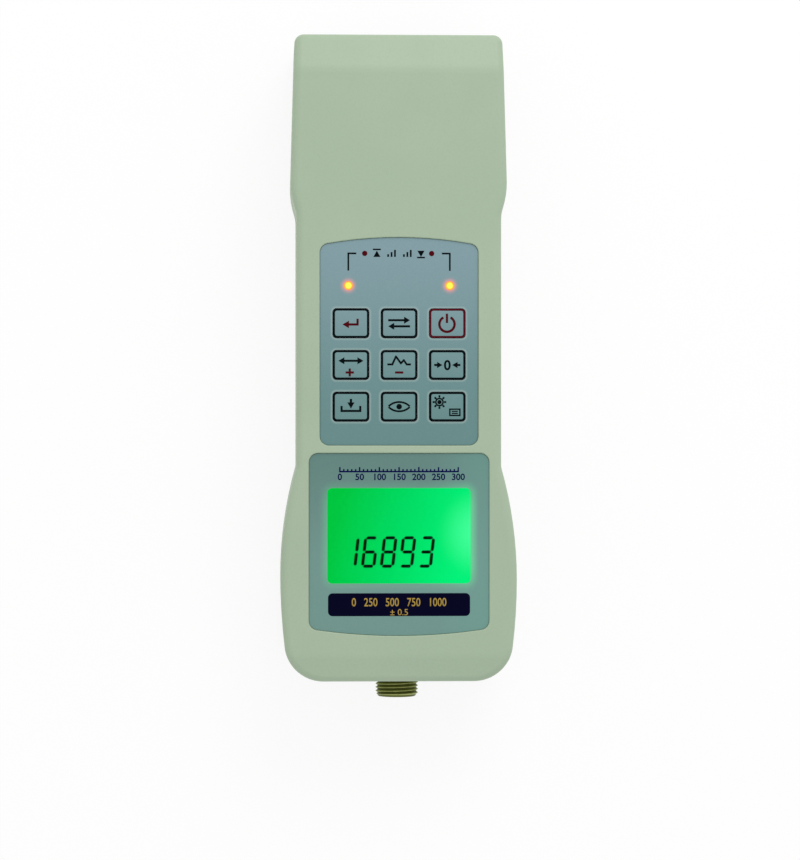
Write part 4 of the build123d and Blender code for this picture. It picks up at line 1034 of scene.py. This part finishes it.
def save_sign(x, y):
    return (arrow(2.7, x, y + 0.8, -90.0, 0.65, 1.15)
            + [flat_plate(5.8, 0.6, x, y - 1.2), flat_plate(0.6, 1.6, x - 2.6, y - 0.6),
               flat_plate(0.6, 1.6, x + 2.6, y - 0.6)])


def view_sign(x, y):
    return [flat_arc(4.25, 0.52, x, y - 2.95, 46.0, 88.0), flat_arc(4.25, 0.52, x, y + 2.95, 226.0, 88.0),
            flat_corners(0.78, x, y, 24)]


def light_sign(x, y):
    rays = [flat_plate(0.66, 0.52, x - 2.2 + 1.58 * math.cos(angle), y + 1.28 + 1.58 * math.sin(angle),
                       math.degrees(angle))
            for angle in (index * math.pi / 4 for index in range(8))]
    page = [flat_plate(3.2, 0.4, x + 2.1, y - 0.7), flat_plate(3.2, 0.4, x + 2.1, y - 2.45),
            flat_plate(0.4, 2.15, x + 0.7, y - 1.58), flat_plate(0.4, 2.15, x + 3.5, y - 1.58),
            flat_plate(1.7, 0.34, x + 2.1, y - 1.3), flat_plate(1.7, 0.34, x + 2.1, y - 1.88)]
    return rays + [flat_arc(1.0, 0.42, x - 2.2, y + 1.28, 0.0, 360.0),
                   flat_corners(0.6, x - 2.2, y + 1.28, 20)] + page


key_signs = {"set": (0, 1, set_sign, print_red), "units": (1, 1, units_sign, print_black),
             "power": (2, 1, power_sign, print_red), "plus": (0, 0, plus_sign, print_black),
             "minus": (1, 0, minus_sign, print_black), "zero": (2, 0, zero_sign, print_black),
             "save": (0, -1, save_sign, print_black), "view": (1, -1, view_sign, print_black),
             "light": (2, -1, light_sign, print_black)}
sign_height = key_top + face_proud
for key, (column, row, sign, colour) in key_signs.items():
    key_x = (column - 1) * key_pitch_x
    key_y = key_row_y + row * key_pitch_y
    body = key + "_key"
    pad = face.copy()
    pad.data = face.data.copy()
    pad.data.transform(Matrix.Translation((key_x, key_y, 0.0)))
    bpy.context.collection.objects.link(pad)
    pad.name = key + "_face"
    finish_piece(pad, key_film, body, 25.0)
    printed(key + "_sign", sign(key_x / mm, key_y / mm), sign_height, colour, body)
    dress(key_line_red if key == "power" else key_line_black, "key_" + key)
bpy.data.objects.remove(face)
plus_x = plus_shift - key_pitch_x / mm
mark_y = key_row_y / mm - mark_drop
plus_bars = [flat_plate(mark_width, mark_stroke, plus_x, mark_y),
             flat_plate(mark_stroke, mark_height, plus_x, mark_y)]
printed("plus_mark", plus_bars, sign_height, print_red, "plus_key")
minus_bar = flat_plate(mark_width, mark_stroke, 0.0, mark_y)
printed("minus_mark", [minus_bar], sign_height, print_red, "minus_key")

# ------------------------------------------------------------- battery pack
# Six nickel-plated cells in a blue shrink sleeve, held down by a foam pad.
# Two vinyl leads, black and red, run from it to the main board.
can_bright = (188, 190, 190)
can_dull = (166, 168, 170)
sleeve_blue = (34, 66, 140)
sleeve_deep_blue = (28, 56, 124)
foam_black = (40, 40, 42)
foam_grey = (52, 52, 54)
lead_black = (30, 30, 32)
lead_black_worn = (40, 40, 42)
lead_red = (176, 26, 26)
lead_red_worn = (160, 20, 22)
leads_middle = 11.0 * mm
cable_grey = (118, 120, 124)
cable_dark_grey = (104, 106, 112)

dress(metal_finish("cell_can", can_bright, can_dull, 0.28, 1000.0, drawn_along_y), "battery_cells")
dress(moulded_finish("sleeve_vinyl", sleeve_blue, sleeve_deep_blue, 0.3, 500.0,
                     {"IOR": 1.54, "Specular IOR Level": 0.6}), "battery_sleeve")
dress(moulded_finish("pad_foam", foam_black, foam_grey, 0.95, 1600.0), "battery_pad")
lead_vinyl, shader, place = new_finish("lead_vinyl", {"IOR": 1.5})
grain = noise(place, 1500.0)
black_lead = blend(grain, paint(lead_black), paint(lead_black_worn))
red_lead = blend(grain, paint(lead_red), paint(lead_red_worn))
red_side = between(axes_of(place)[0], leads_middle - 0.1 * mm, leads_middle + 0.1 * mm)
blend(red_side, black_lead, red_lead).feed(shader, "Base Color")
(0.4 + 0.15 * (grain - 0.5)).feed(shader, "Roughness")
dress(lead_vinyl, "battery_leads")
dress(moulded_finish("cable_vinyl", cable_grey, cable_dark_grey, 0.45, 1200.0), "sensor_leads", "port_cable")

# ------------------------------------------------------------ ports at the head
# A data socket with a tinned steel shell and a charger socket, both soldered to a
# small board. The data socket's tongue carries four gilt contacts.
contact_places = [(x, z) for z in (12.27, 9.03) for x in (-9.25, -6.75)]     # in millimetres
contact_width = 1.0 * mm
contact_length = 7.2 * mm
contact_thickness = 0.16 * mm
contact_edge = 0.05 * mm
contact_y = 87.7 * mm
shell_bright = (200, 202, 204)
shell_dull = (176, 179, 182)
tongue_white = (222, 222, 216)
tongue_aged = (210, 210, 204)
rolled_along_y = (1.0, 0.15, 1.0)

port_shell = metal_finish("port_shell", shell_bright, shell_dull, 0.28, 1500.0, rolled_along_y)
dress(port_shell, "usb_port", "jack_pin")
dress(moulded_finish("tongue_nylon", tongue_white, tongue_aged, 0.45, 1500.0), "usb_tongue")
contacts = []
for x, z in contact_places:
    bpy.ops.mesh.primitive_cube_add(size=1.0, location=(x * mm, contact_y, z * mm),
                                    scale=(contact_width, contact_length, contact_thickness))
    contact = bpy.context.object
    bpy.ops.object.transform_apply(location=True, rotation=True, scale=True)
    whole_mesh()
    bpy.ops.mesh.bevel(offset=contact_edge, segments=2)
    bpy.ops.object.mode_set(mode="OBJECT")
    contacts.append(contact)
finish_piece(gather("data_contacts", contacts), gold_flash, "housing", 40.0)

# ----------------------------------------------------------- the bench it lies on
# A white bench top, a broad soft lamp above the head end and to the right, and pale
# light from all round. The bench is open from below, so that the back can be seen.
bench_size = 3.0
bench_gap = 0.3 * mm          # the bench lies this much under the gauge's back
bench_shadow = 0.15           # share of the bench's white that takes the gauge's shadow
open_reach = 1.0 * mm         # light that leaves the back passes through the bench
room_level = 0.78
white = (1.0, 1.0, 1.0, 1.0)
head_lamp_place = Vector((0.2, 0.65, 0.6))
head_lamp_size = 0.5
head_lamp_power = 2.6


def bright_seen(tree):
    """1 for rays that see a white room: the camera's, and those off gloss or through clear pieces."""
    rays = [Channel(tree).node("ShaderNodeLightPath", {}, {}, kind)
            for kind in ("Is Camera Ray", "Is Glossy Ray", "Is Transmission Ray")]
    seen = rays[0] + rays[1] + rays[2]
    return seen.sum("MINIMUM", seen, 1.0)


world = bpy.data.worlds.new("room")
bpy.context.scene.world = world
world.use_nodes = True
room = world.node_tree
room.nodes["Background"].inputs["Color"].default_value = white
level = room_level + (1.0 - room_level) * bright_seen(room)
level.feed(room.nodes["Background"], "Strength")

bpy.ops.mesh.primitive_plane_add(size=bench_size, location=(0.0, 0.0, -bench_gap))
bench = bpy.context.object
bench.name = "bench"
bench_top = bpy.data.materials.new("bench_top")
bench_top.use_nodes = True
tree = bench_top.node_tree
tree.nodes.clear()
start = Channel(tree)
matt = start.node("ShaderNodeBsdfDiffuse", {}, {"Color": white})
bright = start.node("ShaderNodeEmission", {}, {"Color": white, "Strength": 1.0})
share = bright_seen(tree) * (1.0 - bench_shadow)
top = start.node("ShaderNodeMixShader", {}, {0: share, 1: matt, 2: bright})
behind = start.node("ShaderNodeNewGeometry", {}, {}, "Backfacing")
reach = start.node("ShaderNodeLightPath", {}, {}, "Ray Length")
open_side = behind.sum("MAXIMUM", behind, 1.0 - between(reach, 0.9 * open_reach, 1.1 * open_reach))
gone = start.node("ShaderNodeBsdfTransparent", {}, {})
bench_face = start.node("ShaderNodeMixShader", {}, {0: open_side, 1: top, 2: gone})
output = tree.nodes.new("ShaderNodeOutputMaterial")
tree.links.new(bench_face.socket, output.inputs["Surface"])
bench.data.materials.append(bench_top)

bpy.ops.object.light_add(type="AREA", location=head_lamp_place,
                         rotation=(-head_lamp_place).to_track_quat("-Z", "Y").to_euler())
head_lamp = bpy.context.object
head_lamp.name = "head_lamp"
head_lamp.data.size = head_lamp_size
head_lamp.data.energy = head_lamp_power

# The camera looks down on the front face from 0.9 m over it, a little from the left.
view_centre = Vector((0.00025, -0.01757, 0.0355))
view_distance = 0.9035
view_lean = math.radians(2.3)
camera_place = view_centre + view_distance * Vector((-math.sin(view_lean), 0.0, math.cos(view_lean)))
bpy.ops.object.camera_add(location=camera_place, rotation=(0.0, -view_lean, 0.0))
camera = bpy.context.object
camera.data.lens = 135.78
camera.data.sensor_width = 36.0
bpy.context.scene.camera = camera
bpy.context.scene.view_settings.view_transform = "Standard"
